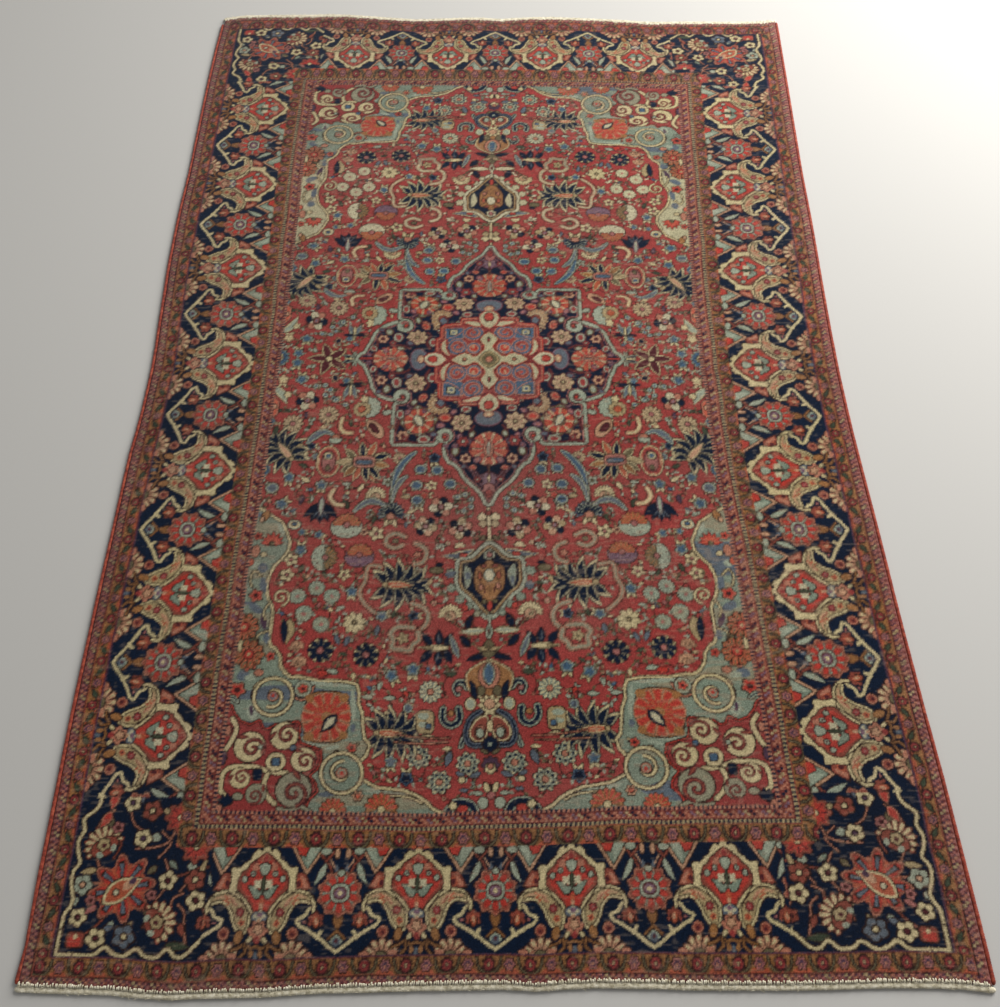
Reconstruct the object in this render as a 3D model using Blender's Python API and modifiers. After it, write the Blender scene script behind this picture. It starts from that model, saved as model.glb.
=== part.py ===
"""Persian rug, hand knotted in wool on a cotton foundation, lying flat with its pile up.

Metres, +Z up. The length runs along Y and the width along X. The origin is on the floor,
under the middle of the rug's bounding box. The pile body is one flat piece. A red wool cord
is overcast along each long side, and a cream cotton band is overcast along each end, where
it also covers the ends of the side cords. The sides and ends wander as they do on a rug
that has been used: the right side is drawn in at its middle, and the ends are wavy.
"""
import math

import bmesh
import bpy
import numpy as np

MM = 0.001

# Driving dimensions
PILE_THICKNESS = 7.0 * MM          # foundation and pile together
PILE_SWELL = 0.7 * MM              # how far the top rises and falls over the worn pile
RIM_ROUNDING = 1.8 * MM            # the pile's upper edge, opened by wear
CORD_WIDTH = 7.0 * MM              # overcast side cord
CORD_HEIGHT = 6.2 * MM
CORD_END_GAP = 1.0 * MM            # between a cord's end and the band beyond it
FAR_LEFT_CORD_WORN = 13.0 * MM     # length worn away from the left cord at its far end
NEAR_BAND_WIDTH = 9.0 * MM         # overcast cotton band on the near end
FAR_BAND_WIDTH = 11.0 * MM         # the same on the far end
BAND_HEIGHT = 5.0 * MM
BAND_END_INSET = 2.0 * MM          # the bands stop this far inside the side cords
GAP = 0.3 * MM                     # between neighbouring pieces

# Steps of the meshes
BODY_STEPS_ACROSS = 32
BODY_STEPS_ALONG = 44
SECTION_SIDES = 8
RIM_SEGMENTS = 2

# Long swells of the pile's top: turns of phase along each axis in radians per metre,
# phase in radians, share of PILE_SWELL
PILE_WAVES = [
    # across  along  phase  share
    (9.1,     2.3,   0.4,   0.38),
    (3.7,    -6.9,   1.9,   0.38),
    (16.0,   11.0,   0.0,   0.24),
]

# Outer edges of the two sides, in mm: place along the rug, left edge, right edge
SIDE_EDGES = np.array([
    # along   left   right
    (-1040,   -650,   659),
    (-900,    -650,   655),
    (-780,    -652,   651),
    (-640,    -654,   644),
    (-500,    -654,   638),
    (-350,    -653,   633),
    (-200,    -652,   627),
    (-110,    -647,   624),
    (0,       -646,   623),
    (90,      -650,   624),
    (180,     -654,   626),
    (280,     -658,   629),
    (400,     -659,   632),
    (520,     -657,   634),
    (650,     -658,   638),
    (800,     -659,   643),
    (920,     -658,   647),
    (1040,    -655,   650),
])

# Outer edges of the two ends, in mm: place across the rug, near edge, far edge
END_EDGES = np.array([
    # across  near    far
    (-656,   -1049,  1043),
    (-600,   -1051,  1054),
    (-520,   -1053,  1056),
    (-450,   -1059,  1057),
    (-400,   -1057,  1059),
    (-300,   -1055,  1051),
    (-260,   -1051,  1046),
    (-200,   -1050,  1040),
    (-130,   -1048,  1044),
    (-60,    -1047,  1048),
    (0,      -1046,  1042),
    (55,     -1049,  1048),
    (105,    -1044,  1050),
    (200,    -1045,  1045),
    (280,    -1047,  1040),
    (350,    -1047,  1032),
    (450,    -1046,  1034),
    (520,    -1044,  1033),
    (600,    -1045,  1035),
    (656,    -1050,  1042),
])


# ------------------------------------------------------------------ edge lines

def smooth_line(places, values, place):
    """A smooth curve through a table's rows that never swings past a row."""
    spans = np.diff(places)
    slopes = np.diff(values) / spans
    tangents = np.zeros(len(places))
    for i in range(1, len(places) - 1):
        before, after = slopes[i - 1], slopes[i]
        if before * after > 0.0:
            tangents[i] = 2.0 * before * after / (before + after)
    i = int(np.clip(np.searchsorted(places, place) - 1, 0, len(spans) - 1))
    t = min(max((place - places[i]) / spans[i], 0.0), 1.0)
    rise = spans[i] * t * (1.0 - t)
    return (values[i] + (values[i + 1] - values[i]) * t * t * (3.0 - 2.0 * t)
            + rise * (tangents[i] * (1.0 - t) - tangents[i + 1] * t))


def edge_reader(table, column):
    """A function from a place in metres to the edge's position in metres."""
    return lambda place: smooth_line(table[:, 0], table[:, column], place / MM) * MM


left_edge = edge_reader(SIDE_EDGES, 1)
right_edge = edge_reader(SIDE_EDGES, 2)
near_edge = edge_reader(END_EDGES, 1)
far_edge = edge_reader(END_EDGES, 2)


def body_point(s, t):
    """Where the share s of the width and t of the length falls on the pile body."""
    side_inset = CORD_WIDTH + GAP
    near_inset = NEAR_BAND_WIDTH + GAP
    far_inset = FAR_BAND_WIDTH + GAP
    x, y = 0.0, 0.0
    for _ in range(6):
        low, high = left_edge(y) + side_inset, right_edge(y) - side_inset
        x = low + (high - low) * s
        low, high = near_edge(x) + near_inset, far_edge(x) - far_inset
        y = low + (high - low) * t
    return x, y


def pile_top(x, y):
    """Height of the pile, which years of wear left slightly uneven."""
    swell = sum(share * math.sin(across * x + along * y + phase)
                for across, along, phase, share in PILE_WAVES)
    return PILE_THICKNESS + PILE_SWELL * swell


# ------------------------------------------------------------------ scene

def clear_scene():
    for old in list(bpy.data.objects):
        bpy.data.objects.remove(old, do_unlink=True)


def new_collection(name):
    collection = bpy.data.collections.new(name)
    bpy.context.scene.collection.children.link(collection)
    return collection


def material(name, colour, roughness):
    """A wool or cotton finish: one colour, rough, not metallic."""
    made = bpy.data.materials.new(name)
    made.use_nodes = True
    shader = made.node_tree.nodes["Principled BSDF"]
    shader.inputs["Base Color"].default_value = (*colour, 1.0)
    shader.inputs["Roughness"].default_value = roughness
    shader.inputs["Metallic"].default_value = 0.0
    made.diffuse_color = (*colour, 1.0)
    return made


# ------------------------------------------------------------------ pile body

def rug_body(collection, finish):
    """The knotted cloth: a gently uneven top, rounded at the rim, over a flat underside."""
    mesh = bmesh.new()
    weight = mesh.edges.layers.float.new("bevel_weight_edge")
    bmesh.ops.create_grid(mesh, x_segments=BODY_STEPS_ACROSS, y_segments=BODY_STEPS_ALONG,
                          size=0.5)
    for vertex in mesh.verts:
        x, y = body_point(vertex.co.x + 0.5, vertex.co.y + 0.5)
        vertex.co = (x, y, pile_top(x, y))
    rim = [edge for edge in mesh.edges if edge.is_boundary]
    skirt = bmesh.ops.extrude_edge_only(mesh, edges=rim)["geom"]
    for vertex in (item for item in skirt if isinstance(item, bmesh.types.BMVert)):
        vertex.co.z = 0.0
    hem = [edge for edge in mesh.edges if edge.is_boundary]
    bmesh.ops.holes_fill(mesh, edges=hem)
    bmesh.ops.recalc_face_normals(mesh, faces=mesh.faces)
    for edge in rim:
        edge[weight] = 1.0

    data = bpy.data.meshes.new("rug_body")
    mesh.to_mesh(data)
    mesh.free()
    data.materials.append(finish)
    body = bpy.data.objects.new("rug_body", data)
    collection.objects.link(body)
    rounding = body.modifiers.new("worn rim", "BEVEL")
    rounding.limit_method = "WEIGHT"
    rounding.width = RIM_ROUNDING
    rounding.segments = RIM_SEGMENTS
    return body


# ------------------------------------------------------------------ edge finishes

def section(name, width, height, guides):
    """A round section with a small flat on which it lies, used by the bands and the cords."""
    half_turn = math.pi / SECTION_SIDES
    reach = math.cos(half_turn)
    curve = bpy.data.curves.new(name, "CURVE")
    spline = curve.splines.new("POLY")
    spline.points.add(SECTION_SIDES - 1)
    for i, point in enumerate(spline.points):
        angle = -(half_turn + 2.0 * math.pi * i / SECTION_SIDES)
        across = width / 2.0 * math.cos(angle) / reach
        up = height / 2.0 * (1.0 + math.sin(angle) / reach)
        point.co = (across, up, 0.0, 1.0)
    spline.use_cyclic_u = True
    guide = bpy.data.objects.new(name, curve)
    guide.hide_render = True
    guide.display_type = "WIRE"
    guides.objects.link(guide)
    return guide


def swept(name, route, profile, finish, collection):
    """A piece of constant section along a flat route."""
    curve = bpy.data.curves.new(name, "CURVE")
    curve.dimensions = "2D"
    curve.fill_mode = "NONE"
    spline = curve.splines.new("POLY")
    spline.points.add(len(route) - 1)
    for point, (x, y) in zip(spline.points, route):
        point.co = (x, y, 0.0, 1.0)
    curve.bevel_mode = "OBJECT"
    curve.bevel_object = profile
    curve.use_fill_caps = True
    curve.materials.append(finish)
    piece = bpy.data.objects.new(name, curve)
    collection.objects.link(piece)
    return piece


def side_route(edge, share, far_loss):
    """Middle line of a side cord, beside the body, from one end band to the other.

    Its corners lie level with the body's own, so the gap between the two stays even.
    """
    inward = 1.0 if share == 0.0 else -1.0
    middle = inward * CORD_WIDTH / 2.0
    beside = [body_point(share, i / BODY_STEPS_ALONG)[1] for i in range(BODY_STEPS_ALONG + 1)]
    at_near, at_far = edge(beside[0]), edge(beside[-1])
    start = near_edge(at_near + middle) + NEAR_BAND_WIDTH + CORD_END_GAP
    stop = far_edge(at_far + middle) - FAR_BAND_WIDTH - CORD_END_GAP - far_loss
    places = [start] + [y for y in beside[1:-1] if start < y < stop] + [stop]
    return [(edge(y) + middle, y) for y in places]


def end_route(edge, share, width):
    """Middle line of an end band, beside the body and past the side cords' ends."""
    inward = 1.0 if share == 0.0 else -1.0
    beside = [body_point(i / BODY_STEPS_ACROSS, share) for i in range(BODY_STEPS_ACROSS + 1)]
    start = left_edge(beside[0][1]) + BAND_END_INSET
    stop = right_edge(beside[-1][1]) - BAND_END_INSET
    places = [start] + [x for x, _ in beside] + [stop]
    return [(x, edge(x) + inward * width / 2.0) for x in places]


def build():
    clear_scene()
    rug = new_collection("persian_rug")
    guides = new_collection("guides")
    pile = material("pile_wool", (0.215, 0.052, 0.038), 0.92)
    red = material("selvedge_wool", (0.330, 0.035, 0.022), 0.88)
    cream = material("binding_cotton", (0.690, 0.640, 0.480), 0.90)

    rug_body(rug, pile)

    cord = section("cord_section", CORD_WIDTH, CORD_HEIGHT, guides)
    swept("selvedge_left", side_route(left_edge, 0.0, FAR_LEFT_CORD_WORN), cord, red, rug)
    swept("selvedge_right", side_route(right_edge, 1.0, 0.0), cord, red, rug)

    near_band = section("near_band_section", NEAR_BAND_WIDTH, BAND_HEIGHT, guides)
    far_band = section("far_band_section", FAR_BAND_WIDTH, BAND_HEIGHT, guides)
    swept("end_binding_near", end_route(near_edge, 0.0, NEAR_BAND_WIDTH), near_band, cream, rug)
    swept("end_binding_far", end_route(far_edge, 1.0, FAR_BAND_WIDTH), far_band, cream, rug)


build()
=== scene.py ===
import math

import bmesh
import bpy
import numpy as np
from mathutils import Matrix, Vector


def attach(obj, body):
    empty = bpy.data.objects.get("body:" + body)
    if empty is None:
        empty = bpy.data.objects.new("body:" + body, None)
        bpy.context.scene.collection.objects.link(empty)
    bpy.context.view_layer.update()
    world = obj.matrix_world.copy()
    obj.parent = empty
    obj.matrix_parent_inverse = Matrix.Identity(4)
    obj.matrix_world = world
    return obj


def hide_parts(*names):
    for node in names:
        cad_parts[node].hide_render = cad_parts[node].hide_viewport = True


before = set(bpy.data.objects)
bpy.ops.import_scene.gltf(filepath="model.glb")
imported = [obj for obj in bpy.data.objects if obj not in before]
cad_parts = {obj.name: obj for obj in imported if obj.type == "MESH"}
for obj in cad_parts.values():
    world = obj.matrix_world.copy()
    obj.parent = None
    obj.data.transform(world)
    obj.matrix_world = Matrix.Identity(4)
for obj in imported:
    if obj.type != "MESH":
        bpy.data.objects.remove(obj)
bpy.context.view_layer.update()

# ------------------------------------------------------------------ the woven outline
# The rug is woven on a loom, row by row, so its design is straight and square there. Use has
# drawn the right side in and left the ends wavy. The pile's edges are read from the packed
# body, and the two tables say where the field's edges wandered to inside them.

MM = 0.001

HALF_WIDTH = 635.0           # mm on the loom, from the middle to the pile's edge
HALF_LENGTH = 1042.0
FIELD_HALF_WIDTH = 395.0
FIELD_HALF_LENGTH = 802.0

FIELD_SIDES = np.array([
    # along  left  right, mm on the floor
    (-804, -412, 399),
    (-604, -414, 390),
    (-404, -412, 381),
    (-204, -409, 370),
    (-4, -408, 367),
    (196, -410, 370),
    (396, -413, 378),
    (596, -416, 385),
    (796, -415, 394),
], float)

FIELD_ENDS = np.array([
    # across  near  far, mm on the floor
    (-398, -812, 798),
    (-198, -815, 796),
    (-98, -816, 795),
    (2, -812, 795),
    (102, -809, 793),
    (202, -806, 791),
    (302, -805, 788),
    (402, -803, 786),
], float)

RIM_HEIGHT = 0.05            # mm, below which a point of the body is on its rim
CORNER_SHARE = 0.02          # of the way from a corner that belongs to both its edges
SETTLING_ROUNDS = 5          # in which the sides and the ends are fitted to each other


def rim_lines():
    """The pile body's edges in mm, from its own rim: left and right along y, near and far along x."""
    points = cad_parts["rug_body"].data.vertices
    rim = np.array([point.co[:] for point in points]) / MM
    rim = np.unique(np.round(rim[rim[:, 2] < RIM_HEIGHT, :2], 3), axis=0)
    across = rim[:, 0] / np.abs(rim[:, 0]).max()
    along = rim[:, 1] / np.abs(rim[:, 1]).max()
    on_side = np.abs(across) > np.abs(along) - CORNER_SHARE
    on_end = np.abs(along) > np.abs(across) - CORNER_SHARE
    lines = []
    for chosen, places, values in [
        (on_side & (across < 0), 1, 0), (on_side & (across > 0), 1, 0),
        (on_end & (along < 0), 0, 1), (on_end & (along > 0), 0, 1),
    ]:
        line = rim[chosen]
        line = line[np.argsort(line[:, places])]
        lines.append((line[:, places], line[:, values]))
    return lines


RIM_LEFT, RIM_RIGHT, RIM_NEAR, RIM_FAR = rim_lines()


def between(value, steps, edges):
    """Straight-line steps from loom places to floor places, where each edge is an array."""
    out = edges[0] + (edges[1] - edges[0]) * (value - steps[0]) / (steps[1] - steps[0])
    for i in range(1, len(steps) - 1):
        part = edges[i] + (edges[i + 1] - edges[i]) * (value - steps[i]) / (steps[i + 1] - steps[i])
        out = np.where(value > steps[i], part, out)
    return out


def on_floor(across, along):
    """Where places on the loom lie on the floor, in mm."""
    side_steps = (-HALF_WIDTH, -FIELD_HALF_WIDTH, FIELD_HALF_WIDTH, HALF_WIDTH)
    end_steps = (-HALF_LENGTH, -FIELD_HALF_LENGTH, FIELD_HALF_LENGTH, HALF_LENGTH)
    x, y = across.copy(), along.copy()
    for _ in range(SETTLING_ROUNDS):
        x = between(across, side_steps, (
            np.interp(y, *RIM_LEFT), np.interp(y, *FIELD_SIDES.T[[0, 1]]),
            np.interp(y, *FIELD_SIDES.T[[0, 2]]), np.interp(y, *RIM_RIGHT)))
        y = between(along, end_steps, (
            np.interp(x, *RIM_NEAR), np.interp(x, *FIELD_ENDS.T[[0, 1]]),
            np.interp(x, *FIELD_ENDS.T[[0, 2]]), np.interp(x, *RIM_FAR)))
    return x, y


# ------------------------------------------------------------------ cotton foundation
# Undyed cotton warps with cotton wefts beaten down over each row of knots. Only its back
# and its rim can be seen, ribbed by the wefts and flecked with the red wool of the knots.

FOUNDATION_TOP = 5.0         # mm, inside the pile
FOUNDATION_UNDERSIDE = 0.3
FOUNDATION_STEPS = (40, 66)
KNOT_ACROSS = 2.2            # mm on the loom: one knot, with its two warps
KNOT_ALONG = 2.3             # one row of knots and its wefts
WAVES_PER_METRE = 3.1831     # of a wave texture with scale 1


def linear(hex_colour):
    """A screen colour as the linear light that the shaders work in."""
    parts = [int(hex_colour[i:i + 2], 16) / 255.0 for i in (1, 3, 5)]
    return [p / 12.92 if p <= 0.04045 else ((p + 0.055) / 1.055) ** 2.4 for p in parts]


def add_node(tree, kind, inputs=(), **settings):
    """Adds a shader node, with its settings, and with each input a value or a link."""
    made = tree.nodes.new(kind)
    for name, value in settings.items():
        setattr(made, name, value)
    for name, value in dict(inputs).items():
        if isinstance(value, bpy.types.NodeSocket):
            tree.links.new(value, made.inputs[name])
        else:
            made.inputs[name].default_value = value
    return made


def new_finish(name):
    """An empty node material and its tree."""
    finish = bpy.data.materials.new(name)
    finish.use_nodes = True
    finish.node_tree.nodes.clear()
    return finish, finish.node_tree


def quads_of(rows, columns, first=0):
    """The four corners of each square of a grid of points, anticlockwise from above."""
    corner = first + np.arange(rows * columns).reshape(rows, columns)
    ring = (corner[:-1, :-1], corner[:-1, 1:], corner[1:, 1:], corner[1:, :-1])
    return np.stack(ring, axis=-1).reshape(-1, 4)


def mesh_piece(name, points, faces, finish):
    """A smooth mesh object from arrays of points in mm and of faces, with its finish."""
    mesh = bpy.data.meshes.new(name)
    mesh.from_pydata((points * MM).tolist(), [], faces.tolist())
    mesh.shade_smooth()
    mesh.materials.append(finish)
    piece = bpy.data.objects.new(name, mesh)
    bpy.context.scene.collection.objects.link(piece)
    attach(piece, "root")
    return piece


def cotton_back():
    """Plain-woven cotton: dull, nearly white, ribbed by the wefts, specked with knot wool."""
    finish, tree = new_finish("cotton_foundation")
    place = add_node(tree, "ShaderNodeTexCoord").outputs["Object"]
    knots = add_node(tree, "ShaderNodeMapping", {
        "Vector": place,
        "Scale": (1.0 / (KNOT_ACROSS * MM), 1.0 / (KNOT_ALONG * MM), 1.0)})
    specks = add_node(tree, "ShaderNodeTexVoronoi", {"Vector": knots.outputs[0], "Scale": 1.0,
                                                     "Randomness": 0.25})
    share = add_node(tree, "ShaderNodeMapRange", {
        0: specks.outputs["Distance"], 1: 0.25, 2: 0.55, 3: 1.0, 4: 0.0})
    colour = add_node(tree, "ShaderNodeMix", {
        0: share.outputs[0], 6: (*linear("#b9ae97"), 1.0), 7: (*linear("#8a4038"), 1.0)},
        data_type="RGBA")
    ribs = add_node(tree, "ShaderNodeTexWave", {
        "Vector": place, "Scale": 1.0 / (KNOT_ALONG * MM) / WAVES_PER_METRE, "Distortion": 0.6},
        bands_direction="Y")
    bump = add_node(tree, "ShaderNodeBump", {
        "Height": ribs.outputs["Fac"], "Strength": 0.5, "Distance": 0.4 * MM})
    shader = add_node(tree, "ShaderNodeBsdfPrincipled", {
        "Base Color": colour.outputs[2], "Roughness": 0.95, "Specular IOR Level": 0.2,
        "Normal": bump.outputs[0]})
    add_node(tree, "ShaderNodeOutputMaterial", {"Surface": shader.outputs[0]})
    return finish


def foundation():
    """A closed slab on the rug's own outline, thin enough to lie inside the pile."""
    columns, rows = FOUNDATION_STEPS[0] + 1, FOUNDATION_STEPS[1] + 1
    across, along = np.meshgrid(np.linspace(-HALF_WIDTH, HALF_WIDTH, columns),
                                np.linspace(-HALF_LENGTH, HALF_LENGTH, rows))
    x, y = on_floor(across, along)
    top = np.stack([x, y, np.full_like(x, FOUNDATION_TOP)], axis=-1).reshape(-1, 3)
    back = top * (1.0, 1.0, 0.0) + (0.0, 0.0, FOUNDATION_UNDERSIDE)
    count = rows * columns
    upper = quads_of(rows, columns)
    lower = quads_of(rows, columns, count)[:, ::-1]
    corner = np.arange(count).reshape(rows, columns)
    rim = np.concatenate([corner[0, :-1], corner[:-1, -1], corner[-1, :0:-1], corner[:0:-1, 0]])
    after = np.roll(rim, -1)
    skirt = np.stack([rim, rim + count, after + count, after], axis=-1)
    return mesh_piece("foundation", np.concatenate([top, back]),
                      np.concatenate([upper, lower, skirt]), cotton_back())


cloth = foundation()
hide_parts("rug_body")


# ------------------------------------------------------------------ squared paper
# A weaver knots from squared paper, one square for each knot. Here each paper is drawn with
# a maker's strokes in mm: lobed discs, leaves, scrolls and lines, called out on cards, one a
# row. A paper holds one repeat or one quarter of its part, and the others come from folding.

SQUARE = 0.8                 # mm, finer than a knot, so that the folds of the paper fit
EDGE = 1.85                  # mm: one line of knots, which outlines most shapes
BOX_CORNER = 1.42            # from a box's middle to its corner, against half its side
LEAF_FULLNESS = 0.8          # below 1, a leaf is widest nearer its root

# The dyes, as screen colours of the worn wool in daylight
DYES = {
    "outline": "#2c1b16",    # brown-black, corroded low by its iron mordant
    "ground_red": "#8d312d",  # the field's own madder
    "madder": "#842e2b",
    "brick": "#7c3a2c",
    "bright_red": "#a02d22",
    "coral": "#b04c33",
    "wine": "#4a1c21",
    "orange": "#9c482c",
    "salmon": "#a0644c",
    "peach": "#a87e5e",
    "rust": "#7b512b",
    "gold": "#8a5c31",
    "cream": "#b0a174",
    "beige": "#a18a66",
    "ivory": "#a9a281",
    "linen": "#9d9774",
    "sand": "#948159",
    "olive": "#5c5339",
    "leaf": "#37402f",
    "celadon": "#868f7a",
    "sage": "#7d7a62",
    "teal": "#6d7a68",
    "blue_grey": "#515b63",
    "blue": "#395468",
    "navy": "#0a182b",
    "violet": "#452f3f",
    "lilac": "#6b4f5c",
    "rose": "#90554f",
    "red_line": "#602622",
}
DYE_NUMBER = {name: number for number, name in enumerate(DYES)}


class Paper:
    """A sheet of squared paper, holding the number of a dye in each square."""

    def __init__(self, left, low, right, high, dye):
        columns, rows = round((right - left) / SQUARE), round((high - low) / SQUARE)
        self.left, self.low = left, low
        self.across = left + (np.arange(columns) + 0.5) * SQUARE
        self.along = low + (np.arange(rows) + 0.5) * SQUARE
        self.squares = np.full((rows, columns), DYE_NUMBER[dye], np.uint8)

    def window(self, x, y, reach):
        """The squares within reach of a place."""
        columns, rows = len(self.across), len(self.along)
        first = [max(int((c - reach - edge) / SQUARE), 0)
                 for c, edge in ((x, self.left), (y, self.low))]
        last = [min(int((c + reach - edge) / SQUARE) + 2, most)
                for c, edge, most in ((x, self.left, columns), (y, self.low, rows))]
        return slice(first[1], max(last[1], first[1])), slice(first[0], max(last[0], first[0]))

    def read(self, x, y):
        """The dye numbers at places given as arrays."""
        column = np.clip(((x - self.left) / SQUARE).astype(int), 0, len(self.across) - 1)
        row = np.clip(((y - self.low) / SQUARE).astype(int), 0, len(self.along) - 1)
        return self.squares[row, column]


def turned(x, y, degrees):
    """Places as seen from a frame turned by some degrees."""
    cos, sin = math.cos(math.radians(degrees)), math.sin(math.radians(degrees))
    return x * cos + y * sin, y * cos - x * sin


def smooth(points, closed=False, steps=6):
    """A smooth curve through a few points."""
    p = np.array(points, float)
    ends = (p[-1:], p[:2]) if closed else (p[:1], p[-1:])
    p = np.concatenate([ends[0], p, ends[1]])
    t = (np.arange(steps) / steps)[:, None]
    curve = [0.5 * (2 * b + (c - a) * t + (2 * a - 5 * b + 4 * c - d) * t ** 2
                    + (3 * b - a - 3 * c + d) * t ** 3)
             for a, b, c, d in zip(p[:-3], p[1:-2], p[2:-1], p[3:])]
    return np.concatenate(curve + ([] if closed else [p[-2:-1]]))


class Spot:
    """A place on a paper where a motif is drawn in its own mm, then turned, sized and flipped.

    Each stroke takes its dye and how far to grow the shape, for the outline under it.
    """

    def __init__(self, paper, x=0.0, y=0.0, turn=0.0, size=1.0, hand=1.0):
        self.paper, self.x, self.y = paper, x, y
        self.turn, self.size, self.hand = turn, size, hand

    def at(self, x, y, turn=0.0, size=1.0, hand=1.0):
        """A spot inside this one."""
        cx, cy = self.placed((x, y))[0]
        return Spot(self.paper, cx, cy, self.turn + turn * self.hand, self.size * size,
                    self.hand * hand)

    def placed(self, points):
        """The motif's points as places on the paper."""
        p = np.atleast_2d(np.array(points, float)) * self.size * (1.0, self.hand)
        cos, sin = math.cos(math.radians(self.turn)), math.sin(math.radians(self.turn))
        return np.stack([self.x + p[:, 0] * cos - p[:, 1] * sin,
                         self.y + p[:, 0] * sin + p[:, 1] * cos], axis=1)

    def tint(self, dye, x, y, reach, inside):
        """Dyes the squares near (x, y) for which inside() holds in the motif's own mm."""
        cx, cy = self.placed((x, y))[0]
        rows, columns = self.paper.window(cx, cy, reach * self.size)
        dx = self.paper.across[columns][None, :] - cx
        dy = self.paper.along[rows][:, None] - cy
        lx, ly = turned(dx, dy, self.turn)
        chosen = inside(lx / self.size, ly / self.size * self.hand)
        self.paper.squares[rows, columns][chosen] = DYE_NUMBER[dye]

    def disc(self, dye, grow, x, y, wide, tall=None, turn=0.0, square=2.0):
        """An oval; with square 1 a lozenge, and with square 4 or more a box."""
        wide, tall = wide + grow, (wide if tall is None else tall) + grow

        def inside(dx, dy):
            dx, dy = turned(dx, dy, turn)
            return np.abs(dx / wide) ** square + np.abs(dy / tall) ** square < 1.0

        self.tint(dye, x, y, max(wide, tall) * BOX_CORNER, inside)

    def bloom(self, dye, grow, x, y, radius, petals, depth=0.25, turn=0.0, fan=180.0):
        """A lobed disc, or a fan of it that reaches so many degrees to each side."""
        def inside(dx, dy):
            dx, dy = turned(dx, dy, turn)
            around = np.arctan2(dy, dx)
            edge = radius * (1.0 - depth * (0.5 - 0.5 * np.cos(around * petals))) + grow
            near = np.abs(around) <= math.radians(fan) + grow / max(radius, 1.0)
            return (np.hypot(dx, dy) < edge) & near

        self.tint(dye, x, y, radius + grow, inside)

    def rays(self, dye, grow, x, y, inner, outer, count, share, turn=0.0, fan=180.0):
        """Spokes between two radii, each a share of its division. They take no outline."""
        def inside(dx, dy):
            dx, dy = turned(dx, dy, turn)
            around, away = np.arctan2(dy, dx), np.hypot(dx, dy)
            part = around * count / (2.0 * np.pi)
            spoke = np.abs(part - np.round(part)) < share / 2.0
            return spoke & (away > inner) & (away < outer) & (np.abs(around) <= math.radians(fan))

        self.tint(dye, x, y, outer, inside)

    def ring(self, dye, grow, x, y, away, radius, count, turn=0.0):
        """Round petals or dots, set in a ring."""
        for i in range(int(count)):
            angle = math.radians(turn + 360.0 * i / count)
            self.disc(dye, grow, x + away * math.cos(angle), y + away * math.sin(angle), radius)

    def leaf(self, dye, grow, x, y, long, wide, turn=0.0, bend=0.0):
        """A pointed leaf that starts at (x, y), of half width wide, bowed by bend."""
        def inside(dx, dy):
            dx, dy = turned(dx, dy, turn)
            part = np.clip((dx + grow) / (long + 2.0 * grow), 0.0, 1.0)
            middle = bend * 4.0 * part * (1.0 - part)
            edge = (wide + grow) * np.sin(np.pi * part ** LEAF_FULLNESS)
            return (np.abs(dy - middle) < edge) & (part > 0.0) & (part < 1.0)

        self.tint(dye, x, y, long + wide + abs(bend) + 2.0 * grow, inside)

    def fan(self, dye, grow, x, y, long, wide, count, turn=0.0, spread=90.0, shrink=0.3):
        """Leaves spread from one root, shorter towards the sides."""
        for i in range(int(count)):
            angle = spread * (2.0 * i / (count - 1) - 1.0)
            reach = long * (1.0 - shrink * abs(angle) / spread)
            self.leaf(dye, grow, x, y, reach, wide, turn + angle)

    def scroll(self, dye, grow, x, y, radius, width, turns, turn=0.0):
        """A flat spiral that winds inwards from its rim."""
        half = width / 2.0 + grow

        def inside(dx, dy):
            dx, dy = turned(dx, dy, turn)
            around, away = np.mod(np.arctan2(dy, dx), 2.0 * np.pi), np.hypot(dx, dy)
            found = np.zeros(dx.shape, bool)
            for lap in range(math.ceil(turns)):
                wound = around + 2.0 * np.pi * lap
                line = radius * (1.0 - wound / (2.0 * np.pi * turns))
                found |= (np.abs(away - line) < half) & (wound < 2.0 * np.pi * turns)
            return found

        self.tint(dye, x, y, radius + half, inside)

    def bar(self, dye, grow, width, points):
        """A line of one width from point to point."""
        places = self.placed(points)
        half = (width / 2.0 + grow) * self.size
        for start, stop in zip(places[:-1], places[1:]):
            middle, run = (start + stop) / 2.0, stop - start
            rows, columns = self.paper.window(*middle, np.hypot(*run) / 2.0 + half + SQUARE)
            dx = self.paper.across[columns][None, :] - start[0]
            dy = self.paper.along[rows][:, None] - start[1]
            t = np.clip((dx * run[0] + dy * run[1]) / max(run @ run, 1e-9), 0.0, 1.0)
            near = np.hypot(dx - t * run[0], dy - t * run[1]) < half
            self.paper.squares[rows, columns][near] = DYE_NUMBER[dye]

    def line(self, dye, grow, width, points):
        """A curved line of one width through a few points."""
        self.bar(dye, grow, width, smooth(points))

    def patch(self, dye, grow, points):
        """A filled outline with a few corners."""
        if grow:
            self.bar(dye, 0.0, 2.0 * grow, [*points, points[0]])
        places = self.placed(points)
        middle = (places.min(axis=0) + places.max(axis=0)) / 2.0
        rows, columns = self.paper.window(*middle, np.ptp(places, axis=0).max() / 2.0)
        x = self.paper.across[columns][None, :]
        y = self.paper.along[rows][:, None]
        odd = np.zeros((y.size, x.size), bool)
        for (ax, ay), (bx, by) in zip(places, np.roll(places, -1, axis=0)):
            if ay != by:
                crosses = (ay > y) != (by > y)
                odd ^= crosses & (x < ax + (y - ay) * (bx - ax) / (by - ay))
        self.paper.squares[rows, columns][odd] = DYE_NUMBER[dye]

    def blob(self, dye, grow, points):
        """A filled outline, curved through its points."""
        self.patch(dye, grow, [tuple(p) for p in smooth(points, closed=True)])

    def swell(self, dye, grow, extra, rows):
        """A body that swells and tapers along a curve: rows of x, y and radius."""
        for x, y, radius in smooth(rows, steps=10):
            self.disc(dye, grow + extra, x, y, radius)


MOTIFS = {}


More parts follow.
